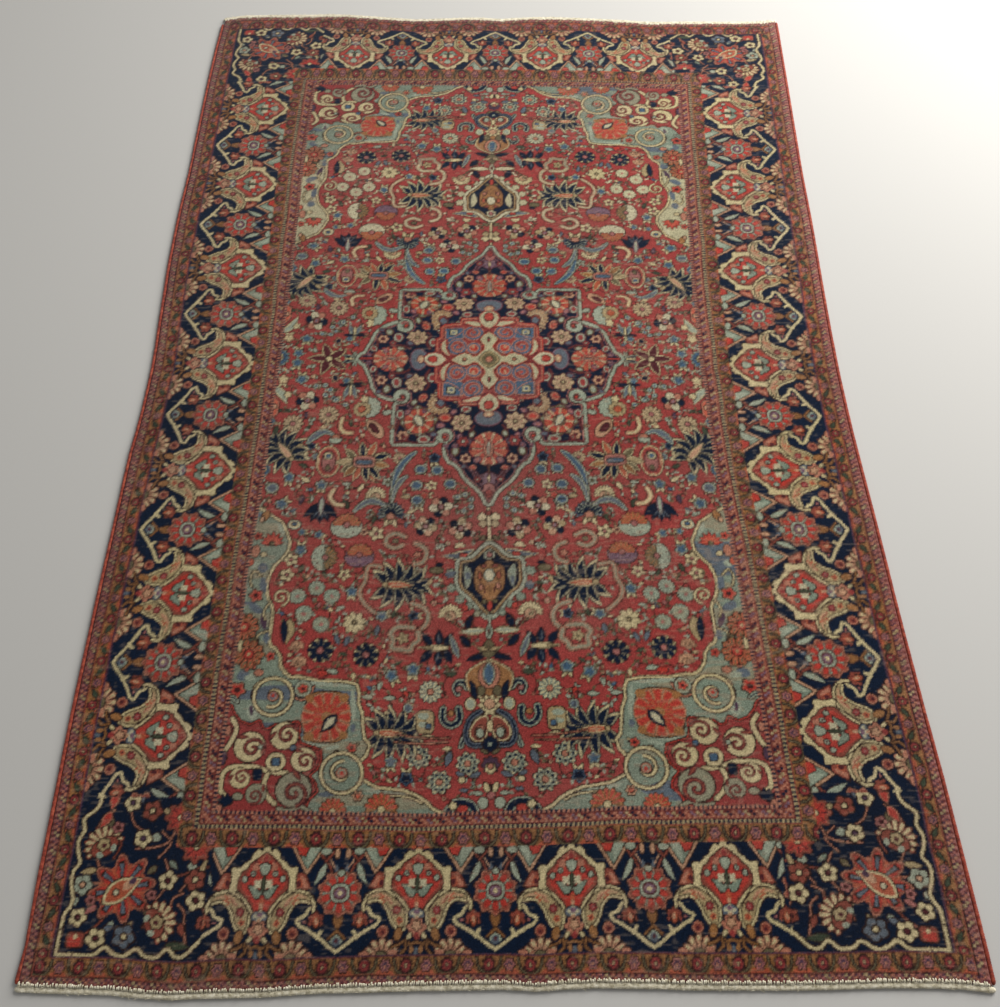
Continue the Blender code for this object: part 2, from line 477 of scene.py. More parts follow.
def card(text):
    """A card's rows as words. A row is a stroke, its dye and its numbers; x,y words are points."""
    return [row.split() for row in text.strip().splitlines()]


def learn(text):
    """Keeps motifs by name: a row that starts at the margin names one and its usual dyes 1, 2, 3."""
    for row in text.strip().splitlines():
        if row.startswith(" "):
            rows.append(row.split())
        else:
            name, *dyes = row.split()
            rows = []
            MOTIFS[name] = (dyes, rows)


def draw(spot, rows, picks=()):
    """Draws a card. Dyes joined by / are outlines, outermost first, and one that starts with /
    has the brown-black outline. = also draws the mirror image across the x axis. A motif's row
    gives its name, any other dyes, and its x,y,turn,size,hand."""
    for head, *words in rows:
        lists = [[float(number) for number in word.split(",")] for word in words if "," in word]
        name, *other = head.strip("=").split(":")
        if name in MOTIFS:
            usual, motif = MOTIFS[name]
            for place in lists:
                draw(spot.at(*place), motif, [*other, *usual[len(other):]])
            continue
        dyes, *numbers = [word for word in words if "," not in word]
        dyes = [picks[int(dye) - 1] if dye.isdigit() else dye or "outline"
                for dye in dyes.split("/")]
        values = [float(number) for number in numbers] + ([lists] if lists else [])
        for i, dye in enumerate(dyes):
            for hand in (1.0, -1.0)[:1 + head.startswith("=")]:
                getattr(spot.at(0.0, 0.0, 0.0, 1.0, hand), name)(
                    dye, EDGE * (len(dyes) - 1 - i), *values)


# ------------------------------------------------------------------ navy border, one repeat
# A vase-shaped palmette between two comma-shaped botehs, a cream vine that dips to the outer
# edge below each rosette, and peach fans that stand on that edge. The repeat is drawn once,
# from the middle of a palmette (x 0) to the middle of the next rosette, and mirrored.
# y runs inwards from the navy band's outer edge.

UNIT = 117.5                 # mm from a palmette to the rosette beside it
BORDER_DEPTH = 150.0

CHEVRON = """
patch /peach 36,154 65,110 93,154
patch /teal 42,154 65,119 87,154
patch celadon 64,154 65,123 70,130 78,142 83,154
patch /bright_red 44,154 51,139 60,137 67,154
patch /brick 49,112 62,113 74,91 50,90
patch salmon 56,109 62,108 71,93 63,92
patch orange 51,104 57,106 62,96 56,93
disc wine 55 99 3.2 4.6
leaf /celadon 93 128 35 4.2 -116 2
bar /brick 2.6 108,104 98,125 86,138
bar peach 2 118,101 107,121 94,140
bar /brick 2.6 107,147 99,137 92,130
disc /celadon 92 144 8 4.6
disc /peach 109 141 3.4 7
leaf blue_grey 111 112 14 2.6 100
"""

ROSETTE = """
leaf /rust 117.5 60 26 7 -90
bloom /salmon/brick 117.5 85 32 10 .2 90
bloom bright_red 117.5 85 27 10 .24 90
rays outline 117.5 85 13 31 10 .26 72
rays salmon 117.5 85 13 30 10 .12 72
rays teal 117.5 85 16 25 10 .2
disc /celadon 117.5 85 14 12.6 0 2.6
disc wine 117.5 85 11 9.6
disc lilac 117.5 85 8 7
disc cream 117.5 85 3.4
disc /celadon 117.5 113 5.4 4
bar rust 3 117.5,44 117.5,30
disc /rust 117.5 20 18 16 0 1
disc outline 117.5 19 14 12.6 0 1.1
disc celadon 117.5 19 9 9 0 1.4
disc blue_grey 117.5 19 6 6
disc wine 117.5 20 3 3
disc cream 120 24 1.6 3
"""

VINE = """
bloom /brick 84 48 12 6 .24 90 130
disc outline 85 44 7 8
leaf orange 86 38 18 4.2 100
leaf peach 86 42 11 2.4 100
disc /rose 66 47 3.8
line navy/navy/cream 4.6 78,66 72,62 68,55 61,52 56,49 60,42 70,37 80,31 90,25 98,19 107,12 117,6 118,5
bar cream 5 88,25 93,33
"""

FAN = """
bloom /salmon 51 -2 26 11 .24 90 100
rays outline 51 -2 9 26 11 .26 106 100
rays peach 51 -2 8 24 11 .6 90 98
rays cream 51 -2 14 23 11 .36 90 98
rays brick 51 -2 8 17 11 .16 90 96
disc /olive 51 -1 8 6
disc /salmon/brick 51 32 6 6
disc wine 51 31 3
disc /salmon 76 1 7 5
"""

BOTEH = """
swell /cream 4.8 73,77,1.6 63,80.5,3 51,80,4.6 40.7,73,6.6 32.6,64,8.4 28,54,9.4 25.6,45,7 23.3,38,3
bar /cream 4 74,80 81,70 80,61
swell /sand 0 73,77,1.6 63,80.5,3 51,80,4.6 40.7,73,6.6 32.6,64,8.4 28,54,9.4 25.6,45,7 23.3,38,3
swell peach 0 68,79,1 58,81,1.6 49,80,2.4 42,75,3 38,70,2
bar orange 2 56,83 50,78 56,76 48,73 51,70
bar brick 1.8 46,78 42,71 36,69
bloom wine 30 60 8 7 .25
bloom madder 30 60 5.6 7 .3
disc rose 30 60 2.2
bloom orange 26 46 5.4 5 .3
disc wine 26 46 1.8
"""

PALMETTE = """
blob /cream 0,148 7,143 13,146 20,140 23,132 31,127 38,120 50,120 49,104 50,88 38,88 28,76 18,64 11,54 0,50
patch /brick 0,141 7,137 15,131 22,126 26,119 34,114 38,105 39,98 38,91 31,85 24,79 15,69 10,61 8,54 0,54
patch bright_red 0,136 12,128 20,122 24,116 31,110 34,99 32,92 24,84 14,72 9,62 0,62
bar wine 2.4 15,130 11,120 17,110 28,106 38,103
disc salmon 14 121 5 7 30
disc salmon/madder 0 132 5 7 0 1.3
patch /celadon 0,127 8,124 7,118 4,112 0,110
disc /celadon 17 112 3.4
disc wine 17 112 1.8
disc /celadon 29 105 3.4 4
patch /teal 0,84 2,86 5,79 11,79 16,85 20,92 23,96 14,95 9,91 5,87 2,92 0,92
bloom ivory 8 98 7.4 4 .3 45
disc /leaf 0 98 2.2 11
disc orange 0 73 4 6
disc peach 0 67 3 4
disc /blue_grey 0 54 12 8
bloom ivory 0 53 10 5 .4 90
disc lilac 0 57 4.6 3.6
disc blue_grey 6 50 2.6
disc peach 0 47 3.4 5
bloom /salmon 0 34 15.5 7 .3 -90
bloom /peach 0 38 7 5 .3 -90
disc madder 0 24 4.6 6 0 1.2
leaf /cream 8 28 12 2.8 -50
disc /gold 28 27 5.4 9 15
bar /rust 2.8 0,16 9,13 17,19 26,13 37,10
bar /rust 2.8 17,19 15,8 24,0
disc gold 7 6 3.2 5
disc blue_grey 0 4 3 5
disc salmon 34 3 6 4
"""

repeat = Paper(-2.0, -4.0, UNIT + 2.0, BORDER_DEPTH + 4.0, "navy")
for rows in (CHEVRON, ROSETTE, FAN, VINE, BOTEH, PALMETTE):
    draw(Spot(repeat), card(rows))


# ------------------------------------------------------------------ navy border, corners
# Where the borders meet, a tilted red palmette stands among small garden flowers, and the
# cream vine runs straight round the outer corner. x and y are mm from the rug's middle lines,
# outwards. The corner is drawn for the near end, whose border is a little deeper.

learn("""
garden cream wine
  bloom /1 0 0 10.4 5 .22
  rays outline 0 0 4 10 5 .1 36
  disc /2 0 0 2.4
carnation
  bloom /brick 0 0 25 14 .2 0 110
  bloom salmon 0 0 23.5 14 .22 0 106
  rays outline 0 0 9 24 14 .22 12.8 104
  rays cream 0 0 9 22.6 14 .5 0 104
  disc /brick -3 0 11 17
  bloom /sand 0 0 8 5 .2
  =disc celadon -10 9 4.4 3.4 30
  disc wine -1 0 3
tilted
  bloom /salmon/brick 0 0 43 8 .36 22
  bloom bright_red 0 0 39 8 .44 22
  rays outline 0 0 15 36 8 .34 22
  rays blue_grey 0 0 17 33 8 .2 22
  rays orange 0 0 17 32 8 .2
  leaf /cream -30 -3 58 14 0 3
  leaf orange -26 -3 50 11 0 3
  leaf peach 0 -2 22 6 0 2
  disc violet 16 1 5 4
  disc /ivory -9 0 3.4
half_red
  bloom /brick 0 0 24 8 .25 0 100
  bloom bright_red 0 0 19 8 .3 0 100
  rays wine 0 0 8 18 8 .2 0 90
  disc /cream 0 0 4
""")

# Thin stems, by their dye
CORNER_STEMS = {
    "salmon": """
560,868 552,884 545,900
497,832 512,822 520,805 520,790
545,800 562,815 566,835 556,860
470,832 455,848 470,868
505,856 478,854 458,846 450,826
450,905 458,918 466,930
425,915 438,922 440,935
505,945 500,962 501,975
430,930 420,940 418,956 412,985
580,912 562,905 545,905
405,905 418,898 430,912
460,870 452,884 450,896
400,930 392,940 388,955
""",
    "brick": """
532,950 540,960 548,968 562,976
535,870 528,850 536,830
480,930 472,945 476,962
395,880 410,882 430,890 446,892
""",
}

CORNER_FIGURES = """
leaf /olive 545 812 22 4 70
leaf /blue_grey 572 842 28 5.4 85
leaf /celadon 425 878 14 5 175
leaf /leaf 440 983 34 5 175
leaf /sand 492 955 22 3 60
leaf /sand 398 868 34 3 70
leaf /olive 470 880 15 4 40
leaf /celadon 484 838 14 6 160
leaf /sand 556 886 24 4.6 10
leaf /celadon 520 957 14 4 60
leaf /brick 424 955 18 4 110
leaf /sand 472 800 14 4 150
leaf /teal 452 872 16 3.4 140
leaf /rose 546 936 18 4 30
leaf /blue_grey 532 968 14 4 200
leaf /celadon 575 925 14 4 60
leaf /sand 476 936 14 3.6 120
leaf /rose 428 838 16 4 60
leaf /blue_grey 508 778 12 4 100
tilted 514,911,215,1.08
carnation 553,850,-60,1.16 457,954,205,1.16
garden:celadon:peach 572,907,30,1.38
garden 570,951,30,1.2 540,979,10,1.32 450,898,50,1.26 406,925,0,1.32
garden:blue_grey:cream 501,976,30,1.5
garden:cream:violet 497,842,30,1.26 520,790,0,1.2
garden:brick:cream 489,802,30,1.38 411,897,0,1.38
garden:brick:wine 392,955,30,0.96
garden:rose:wine 536,826,0,0.84 470,918,0,0.72 556,928,0,0.72
half_red 446,812 416,852,90
disc /brick 568 981 12 10 0 5
disc bright_red 569 983 9 7 0 4
disc cream 568 977 3
leaf /salmon/bright_red 546 775 23 5 80
leaf /salmon/bright_red 550 804 23 5 60
line /cream 4.4 575,765 568,782 572,797 588,812 585,828 591,845 588,862 583,876 590,890 588,908 \
582,925 584,938 590,948 591,975
bar /cream 4.4 591,970 591,1001 560,1001
line /cream 4.4 565,1001 540,1001 525,991 512,999 497,1001 480,990 468,998 450,999 436,988 424,998 \
411,996 398,983 390,978 375,990
"""

corner = Paper(385.0, 765.0, 600.0, 1007.0, "navy")
for dye, stems in CORNER_STEMS.items():
    draw(Spot(corner), [["line", f"/{dye}", "1.8", *points] for points in card(stems)])
draw(Spot(corner), card(CORNER_FIGURES))


# ------------------------------------------------------------------ guard stripes
# Narrow stripes on a rust-gold ground on both sides of the navy border. Dark red rosettes
# alternate with violet blossoms: on the outer sides leaves stand between them, and elsewhere
# an olive stem arches over each rosette. Each is drawn as half a repeat, 18 mm deep.

GUARD_DEPTH = 18.0
SIDE_GUARD_HALF = 35.8       # mm from a red rosette to the next violet blossom
END_GUARD_HALF = 27.2

learn("""
guard_rosette
  bloom /wine 0 9 7.6 8 .2 22
  bloom madder 0 9 6.4 8 .3
  disc wine 0 9 3.4
  disc sand 0 9 1.7
guard_blossom
  bloom /rose 0 9 7 6 .25
  bloom violet 0 9 4.6 6 .3
  disc salmon 0 10 1.8
""")

side_guard = Paper(-1.0, -1.0, SIDE_GUARD_HALF + 1.0, GUARD_DEPTH + 1.0, "rust")
draw(Spot(side_guard), card("""
disc gold 10 2 7 4
disc gold 26 3 5 3
disc orange 28 17 8 4
guard_rosette 0,0
line /orange 2 8,16 14,14 20,8 28,4
leaf /leaf 11 13 16 3 -28
guard_blossom 35.8,0
"""))
arched_guard = Paper(-1.0, -1.0, END_GUARD_HALF + 1.0, GUARD_DEPTH + 1.0, "rust")
draw(Spot(arched_guard), card("""
disc orange 27.2 17 12 4
disc gold 15 2 6 4
line /olive 1.6 16,1 14,10 8,16.5 0,18.5
guard_rosette 0,0
guard_blossom 27.2,0
"""))


# ------------------------------------------------------------------ field, one quarter
# A madder field strewn with garden flowers, leaves, cloud bands and fruits round a navy
# medallion. x runs outwards from the middle line and y towards the end, in mm; the middle of
# the medallion is at y = MEDALLION_Y. The other three quarters are folded from this one.

MEDALLION_Y = -27.0
FIELD_PAPER = (-10.0, -60.0, 400.0, 806.0)           # left, low, right and high edge

field = Paper(*FIELD_PAPER, "ground_red")

learn("""
daisy teal rose
  bloom /1 0 0 13.4 13 .14
  rays celadon 0 0 6 12.6 13 .5
  disc 2 0 0 3
blossom cream rose
  bloom /1 0 0 12 5 .38
  rays outline 0 0 4 10.5 5 .16 36
  disc /2 0 0 2.6
star_rosette cream olive
  bloom /1 0 0 19 8 .3
  rays outline 0 0 14 20 8 .07
  rays outline 0 0 6 18 8 .1 22.5
  disc /2 0 0 3.4
  disc sand 0 0 2
navy_rosette navy cream
  ring /2 0 0 16.4 3.2 8 22.5
  bloom /1 0 0 20 8 .26
  rays 2 0 0 10 18 8 .05 22.5
  disc /rose 0 0 4.6
petal_wheel celadon salmon
  bloom /1 0 0 18 12 .18
  rays cream 0 0 6 16.6 12 .3
  rays outline 0 0 5 17.6 12 .16 15
  bloom /2 0 0 5 6 .2
dotted_rosette celadon cream
  bloom /1 0 0 18 8 .24
  rays 2 0 0 6 17 8 .3
  rays outline 0 0 6 17 8 .12 22.5
  ring navy 0 0 11.5 2.7 8
  disc /salmon 0 0 4.4
sunflower beige rose
  bloom /1 0 0 19 12 .24
  rays outline 0 0 5 18.4 12 .2 15
  disc /2 0 0 4.4
mixed_flower navy ivory salmon
  ring outline 0 0 13 7.6 6
  ring 1 0 0 13 6 2 0
  ring 2 0 0 13 6 2 60
  ring 3 0 0 13 6 2 120
  ring ivory 0 0 9 2 6 30
  rays outline 0 0 5 12 6 .1
  disc /rose 0 0 4
  disc blue 0 0 1.8
tulip blue celadon cream
  =leaf /3 -3 0 14 2.4 152
  bloom /2/1 1 0 7.4 5 .3
  rays outline 1 0 2 7 5 .12 36
round_bud blue celadon cream
  =leaf /3 -4 0 10 2 128
  disc /2/1 0 0 6.4 7.4
  bar outline 1 0,-6 0,6
bud salmon olive
  =leaf /2 -4 0 9 1.8 140
  leaf /1 -4 0 12 3.6
sprig leaf
  leaf /1 -9 0 18 3.6
fan_flower navy orange cream
  =leaf /sage/3 -4 3 32 5.6 134 -4
  =leaf /sage/3 5 4 41 5.8 112 -5
  =leaf /sage/3 14 5 44 5.8 90 -5
  =leaf /sage/3 23 6 45 5.6 68 -6
  =leaf /sage/3 31 6 43 5.2 46 -7
  =leaf /sage/3 35 4 42 4.4 20 -7
  =leaf 1 -4 3 26 5.4 134 -4
  =leaf 1 5 4 35 5.6 112 -5
  =leaf 1 14 5 38 5.6 90 -5
  =leaf 1 23 6 39 5.4 68 -6
  =leaf 1 31 6 38 5 46 -7
  =leaf 1 35 4 37 4.2 20 -7
  leaf /cream/outline -6 0 48 4.6
  leaf 2 -4 0 44 5
  leaf peach 4 0 24 2
  disc /sand -4 0 4
scalloped_fan cream rose
  bloom /1 0 0 18 18 .18 0 105
  rays outline 0 0 11 16.6 18 .2 10 100
  disc /peach -2 0 8
  scroll /1 -2 0 5 1.2 1
shell_fan navy salmon
  bloom /blue_grey/1 0 0 19 16 .14 0 106
  rays celadon 0 0 9 18.4 16 .2 11 104
  =leaf /cream -4 0 20 3.6 150
  bloom /2 -4 0 6.4 6 .2
  disc /sand -12 0 2.6
trefoil navy cream
  =leaf /1 -12 3 25 6 118
  =leaf /1 -3 4 28 6 88
  =leaf /1 8 4 28 5.6 52
  =leaf blue_grey -3 8 18 .9 80
  leaf /2 -20 0 50 4.4
  leaf /sand 6 0 16 1.4
fruit orange celadon
  disc /2 0 0 26 20
  ring wine 0 4 13 1.6 7 0
  bloom /1 0 -3 24 15 .14 -90 90
  rays gold 0 -3 10 22.6 15 .4 -90 84
  disc /rose 0 -4 5
windmill wine cream
  fan /2/1 0 0 38 7 5 0 144 0
  disc /2 0 0 5
shell blue orange
  bloom /celadon/1 0 0 21 14 .16 0 104
  rays navy 0 0 12 20 14 .2 13 100
  bloom /cream 0 0 11 10 .2 0 108
  bloom /2 0 0 7 8 .2
berry celadon blue
  disc /1 0 0 4.8
  disc 2 0 0 2.6
plant blue_grey navy
  =leaf /2 0 -2 22 2.6 10
  leaf /2 0 0 24 2.6 172
  leaf /2 0 0 24 2.6 190
  leaf /celadon/1 0 0 30 4 68
  leaf /celadon/1 0 0 30 4 112
  leaf /cream 0 0 26 2.4 90
""")

FLOWERS = card("""
daisy 281,444 255,458 310,459 297,490,0,1.05 268,508
blossom 328,393 332,421,40 238,418,20,.9 191,341,0,1.1 155,655,0,.6
blossom:celadon:olive 118,411,0,.8 178,240,30,.8
blossom:peach:wine 212,338,30,.7 273,157,0,.6
star_rosette 215,504,11
navy_rosette 265,552,90 193,558,90
petal_wheel 90,617
dotted_rosette 106,718 34,730,10 76,756,20
sunflower 294,100 357,121 158,191,0,.66
mixed_flower 335,70,10,1.1
mixed_flower:ivory:navy:salmon 83,289,10,1.05
mixed_flower:salmon:sand:navy 49,331,20,1.1
mixed_flower:navy:peach:sand 108,327,50
windmill 303,-27,0,1.04
shell 400,-27,180
shell:blue:peach 399,219,180,.6
fan_flower 166,436,180
fan_flower 166,683,180,.92
fan_flower:navy:peach 353,194,-50,.98
scalloped_fan 64,488,-90,1.05 197,268,-90
shell_fan 168,304,-90,1.15
trefoil 82,546
scalloped_fan:peach:salmon 303,548,-90,.66 297,574,-90,.7 333,578,-90,.6
fruit 242,330
fruit:orange:lilac 216,385,0,.92
fruit:olive:celadon 276,388,-90,.9
tulip 223,450,-90,1.1 171,492,20 118,583,-90,1.15 150,592,-60,1.1 314,374,90,1.1
tulip 285,65,0,.8 362,-14,-90,1.1 350,22,90,1.1 266,24,0,.8 350,235,-90,1.1 292,248,-90,1.1
tulip 357,286,40,1.2 315,341,0,.7 397,116,180,.8 146,727,-90 120,282,-90,1.1
tulip:navy:blue 96,191,-90,1.1 123,750,90,1.1 121,491,0,.9 316,168,0,.8
tulip:cream:peach 384,25,-90,1.1 300,128,60,.7
tulip:bright_red:salmon 110,267,0,.8 228,120,30,.8 205,230,60,.7 384,128,90,.7
round_bud 91,215,-90,1.1 120,213,-90,1.1 68,243,-90,1.1 126,246,-90,1.1 124,276,-90,1.1
round_bud:blue_grey:celadon 378,255,-90,1.2 306,190,-90,.8 124,643,0,.8 393,300,0,.8
sprig 270,420,120,.8 79,436,10,.7 154,490,80,.8 310,410,70 327,210,-20 387,93,0,.9
sprig 247,284,-60,1.2 197,315,70,.9 328,128,0,.6 60,589,0,1.1 386,136,80,1.1 58,278,70,.8
sprig:violet 335,103,90,.9 323,278,80,1.1 318,505,90,.8
sprig:blue_grey 178,518,80 225,535,70 240,533,110 63,722,70,1.3 23,747,20 45,745,160,.8
sprig:celadon 184,94,200,1.2 87,367,20,.7 250,244,0,.9 20,774,0,.8 244,586,-10,1.1
sprig:cream 321,237,-30,1.1 224,252,60 325,186,70,.7 65,706,0,.8 134,299,30,.8 210,594,90,.8
sprig:sand 144,270,0,.9 147,258,60,.6 98,430,70,.9 338,168,20,.8
sprig:navy 33,503,70,1.4 38,535,-50,1.4 84,398,0,.8
berry 322,37 305,35 295,45 303,57 283,67 265,78 41,264 55,269 30,274 30,289 43,297
sprig:celadon 169,609,90,.8 153,627,0,1 187,626,0,1 178,645,90,.6
berry:peach:rose 91,468,0,.9 232,218,0,.8 246,60,0,.9 218,24,0,.6
plant 258,34
plant:navy:celadon 255,-27,-90,.8
""")
draw(Spot(field), FLOWERS)

# Feathered leaves, cloud bands, curled ribbons, split leaves and other odd shapes
draw(Spot(field), card("""
swell /celadon/blue 0 130,178,1 140,187,3 150,199,4 159,214,4.4 165,232,3 168,252,1.4 170,280,.6
swell /celadon/blue_grey 0 144,228,1 153,236,3 160,247,3 165,262,2 168,280,.6
swell /celadon/blue_grey 0 178,288,1 190,281,3 204,278,4 218,284,3.4 231,298,1
swell /celadon/blue_grey 0 282,142,1 296,137,3 308,142,5 318,152,4 324,162,1
leaf /cream/celadon 400 40 46 6 126 4
bloom /cream 372 58 7 5 .3
leaf /cream/blue_grey 28 372 52 5 10 5
bloom /cream 50 366 9 9 .24 -80 100
leaf /celadon/blue_grey 48 562 42 3 -70
leaf /cream/celadon 8 518 38 3.4 2
line /salmon/sage 4.6 124,398 110,392 105,378 111,366 124,360
bloom /salmon 120 380 6 5 .3
line /salmon/sage 4.6 142,347 158,340 172,347 173,360 160,368 146,363
disc /olive 158 354 5 4
line /salmon/sage 4.6 126,470 108,476 99,490 101,506 111,517
line /salmon/sage 5.4 113,519 111,533 120,541 124,551 138,549 152,546 151,532 156,522 147,512 134,511 \
121,512
bloom /sand 136 530 10 5 .4
disc olive 136 530 3
line /salmon/sage 3.4 178,404 196,401 202,412 203,430 210,446 207,462 198,474 184,486
line /salmon/cream 5 270,256 275,270 266,284 252,287
line /salmon/cream 5 268,108 270,126 262,138 248,140
disc /cream/orange/cream 284 199 17 28
disc ground_red 284 199 16 27 0 2.6
disc /rose 284 199 11 21
disc /cream/blue 285 188 4.4 4.4 0 5
disc /olive 284 212 3.4 5
leaf /sand 317 500 42 9 86
leaf /navy 326 500 42 5 92
disc /sand 97 664 13 17 0 4
disc olive 97 664 1.4 14 0 4
disc celadon 100 655 9 5
disc celadon 100 668 8 4
disc /blue 92 671 3.6 3.6 0 5
leaf /cream 84 686 28 2.6 4
line /celadon/navy 6 70,645 71,657 66,667 57,671 48,666 45,656 47,645
bloom /gold 58 652 4.6 5 .2
line /celadon/navy 5 34,612 39,604 47,603 52,611 49,621
disc /rose 47 614 4
disc /cream/celadon 29 638 6 8
line /salmon 1.2 60,690 100,688 140,684
line /salmon 1.2 64,696 104,697 142,696
line /celadon/navy 3 11,650 25,663 36,682 44,704
disc /navy 34 505 5 7
blob /peach 190,144 192,130 202,118 216,112 222,118 220,130 210,142 198,150
blob /wine 199,138 201,130 208,121 215,119 216,126 209,136
bloom /celadon 221 84 23 12 .1 180 110
bloom /sand 233 88 17 12 .18
bloom /orange 234 88 8 8 .24
bloom /cream 230 66 8 5 .4
disc /celadon 275 153 11 8
bloom /salmon 275 150 8 8 .2 -90 95
scroll /cream 337 461 15.6 3 1.7 100
disc /bright_red 259 590 8 5
disc /celadon/cream 330 327 9 7
disc /blue 330 326 4 3
disc /olive 88 408 11 6
"""))

# A navy tulip hung from a celadon leaf, and the winged palmette beside the medallion
draw(Spot(field, 288, 286, 90), card("""
fan /navy -2 0 40 7 5 0 46 0
fan blue_grey 8 0 26 .9 4 0 34 0
rays outline -2 0 14 36 30 .14 0 40
leaf /lilac/celadon -14 0 36 3
"""))
draw(Spot(field, 221, 199), card("""
=leaf /cream/orange -6 -8 34 5 -112
leaf /cream/navy 2 -8 32 5 -84
leaf /cream/olive 16 -6 26 5 -48
leaf /cream/navy -16 -6 32 5.4 200
leaf /cream/sand 18 0 30 6 4
leaf /cream/olive 18 6 26 5 34
leaf /cream/gold -18 4 26 5.4 170
leaf /cream/navy -10 8 34 5 122
leaf /cream/orange 6 8 32 5 70
leaf /cream/navy -2 8 32 5 96
leaf /cream/rust 14 8 30 5 48
disc /salmon/rose 0 0 17 9.6 0 4
disc /blue_grey 0 1 14 4.4 0 3
disc blue 0 1 10 2.4 0 3
"""))

# The column on the middle line: butterfly, pendant, palmettes and the scroll heart
draw(Spot(field), card("""
line /cream 2.4 -1,335 2,352 14,366 26,380 40,386 58,389
bar /cream 4 0,290 0,356
bloom /cream 11 310 8 4 .2
bloom /sand 10 323 7 4 .2
disc /cream 0 316 3 12
disc /madder 0 302 4
leaf /olive 6 346 14 3.4 40
patch /celadon/celadon/celadon/outline/rust/sand/outline/navy -8,370 0,370 8,376 18,388 28,395 44,397 \
45,430 41,440 28,452 17,467 6,482 0,488 -8,482
bloom /teal 65 414 9 6 .24 70
bloom /teal 63 440 8 6 .24 40
bloom /teal 49 461 8 6 .24 20
bloom /teal 34 474 7 6 .24
bloom /teal 20 488 6 6 .24
disc /bright_red 44 381 6 3 0 4
disc /bright_red 40 476 4 6 30
leaf /celadon/teal 39 402 40 4.4 92 3
blob /rust/gold -4,398 8,401 16,404 21,410 22,428 19,444 12,454 6,464 -4,472
line wine 1.8 20,410 12,416 16,430 9,440 8,452
disc /orange 15 421 3 5.6
disc /salmon 14 441 3 5
disc /brick 9 403 4 3
disc /celadon/ivory 0 420 6 9
bar outline 1.6 0,436 0,456
bar outline 1.2 4,438 4,450
disc /olive 9 468 3.6 3 0 3
disc /bright_red 0 476 3.4 8
bloom /celadon 0 382 10 6 .2 90
disc /rose 0 382 4 5
line /celadon 2.6 2,492 0,506 4,520 0,534
leaf /navy 8 556 30 5 22 3
leaf /navy 6 562 26 4 4
leaf /cream 2 560 26 1.6 -40
blob /olive -4,534 3,536 9,546 10,554 6,562 -4,564
leaf /sand 2 552 14 3 -20
bar wine 1.2 0,534 0,548
blob /cream/gold -4,573 20,578 34,593 29,616 14,626 -4,627
patch /navy 23,606 29,601 27,624 20,630 18,618
disc /salmon 0 592 16 20
disc /celadon/blue 0 590 7 15 0 1.7
disc /olive 12 617 5.6 7.6
bloom /cream 0 640 17 10 .25
rays outline 0 640 9 16 10 .2 18
bloom /peach 0 638 8.6 8 .2
line /blue_grey/navy 3.6 14,650 26,658 34,672 36,690 28,702 14,703
blob /cream/brick 5,660 17,663 28,678 27,690 19,696 9,692 5,680
disc /salmon 15 683 7 10 -15
disc /celadon 15 684 5 7
disc /cream 0 674 3.6 9
bloom /navy 0 702 12 9 .2
disc celadon 0 702 3
bloom /violet 0 733 13 8 .2
bloom /cream 0 738 8 5 .2 90
disc /salmon 0 735 3.6
leaf /olive 3 716 14 2.6 -30
disc /celadon 12 788 7 8
disc /cream 6 766 3.6 8 20
disc outline 0 766 2.6 8
disc /rose 0 777 5
line /celadon/navy 9 62,798 52,788 40,787 30,791 24,800
disc /bright_red 42 796 7 5
bloom /cream 56 791 6 5 .3
disc /cream 43 754 5 4
"""))


# ------------------------------------------------------------------ field, corner pieces
# Each corner of the field holds a square of cream scrolls on a dark madder ground, and a pale
# teal piece beyond it with a big orange rosette and two scrolled discs. Arms of the teal run
# along the field's edges, outlined in cream.

learn("""
scrolled_disc teal cream
  disc /cream/cream/outline/1 0 0 23.5
  scroll /2 0 0 16.4 3.4 1.25 60
  disc /salmon/1 0 0 5
  disc bright_red 0 -1 3
big_rosette orange bright_red
  disc /gold 0 0 34 39 0 3.2
  rays outline 0 0 8 39 12 .98 0
  rays peach 0 0 8 38 12 .94
  rays 1 0 0 8 37 12 .82
  rays 2 0 0 20 36 12 .5
  rays 2 0 0 8 20 12 .5 15
  disc gold 25 30 8 7 30
  disc gold -25 -30 8 7 30
  disc gold 28 -28 7 6 -30
  disc gold -28 28 7 6 -30
  leaf /navy/navy/ivory -13 0 26 4.6 49
edge_rosette coral olive
  bloom /gold 0 0 20 10 .2
  rays outline 0 0 7 20 10 .24 18
  rays 1 0 0 6 18 10 .6
  rays 2 0 0 10 17 10 .3
  disc /bright_red 0 0 6
  disc sand 0 0 2.6
red_flower bright_red salmon
  bloom /2 0 0 9.6 5 .3
  bloom 1 0 0 8.4 5 .34
  disc /wine 0 0 1.6
half_sun coral gold
  bloom /2 0 0 25 14 .16 0 100
  rays outline 0 0 6 24 14 .7 0 96
  rays 1 0 0 6 23.4 14 .56 0 96
  rays bright_red 0 0 12 21 14 .3 0 96
  disc /cream 0 0 5
lotus coral wine
  fan /bright_red 0 8 24 3.4 7 -90 84 .2
  fan 1 0 8 20 1.4 7 -90 84 .2
  disc /olive 0 8 3.4
curl cream brick
  disc /1 0 0 18.4
  scroll wine/2 4 0 14.4 1.8 1.5
  leaf wine/2 -21 2 14 1.6 30
""")

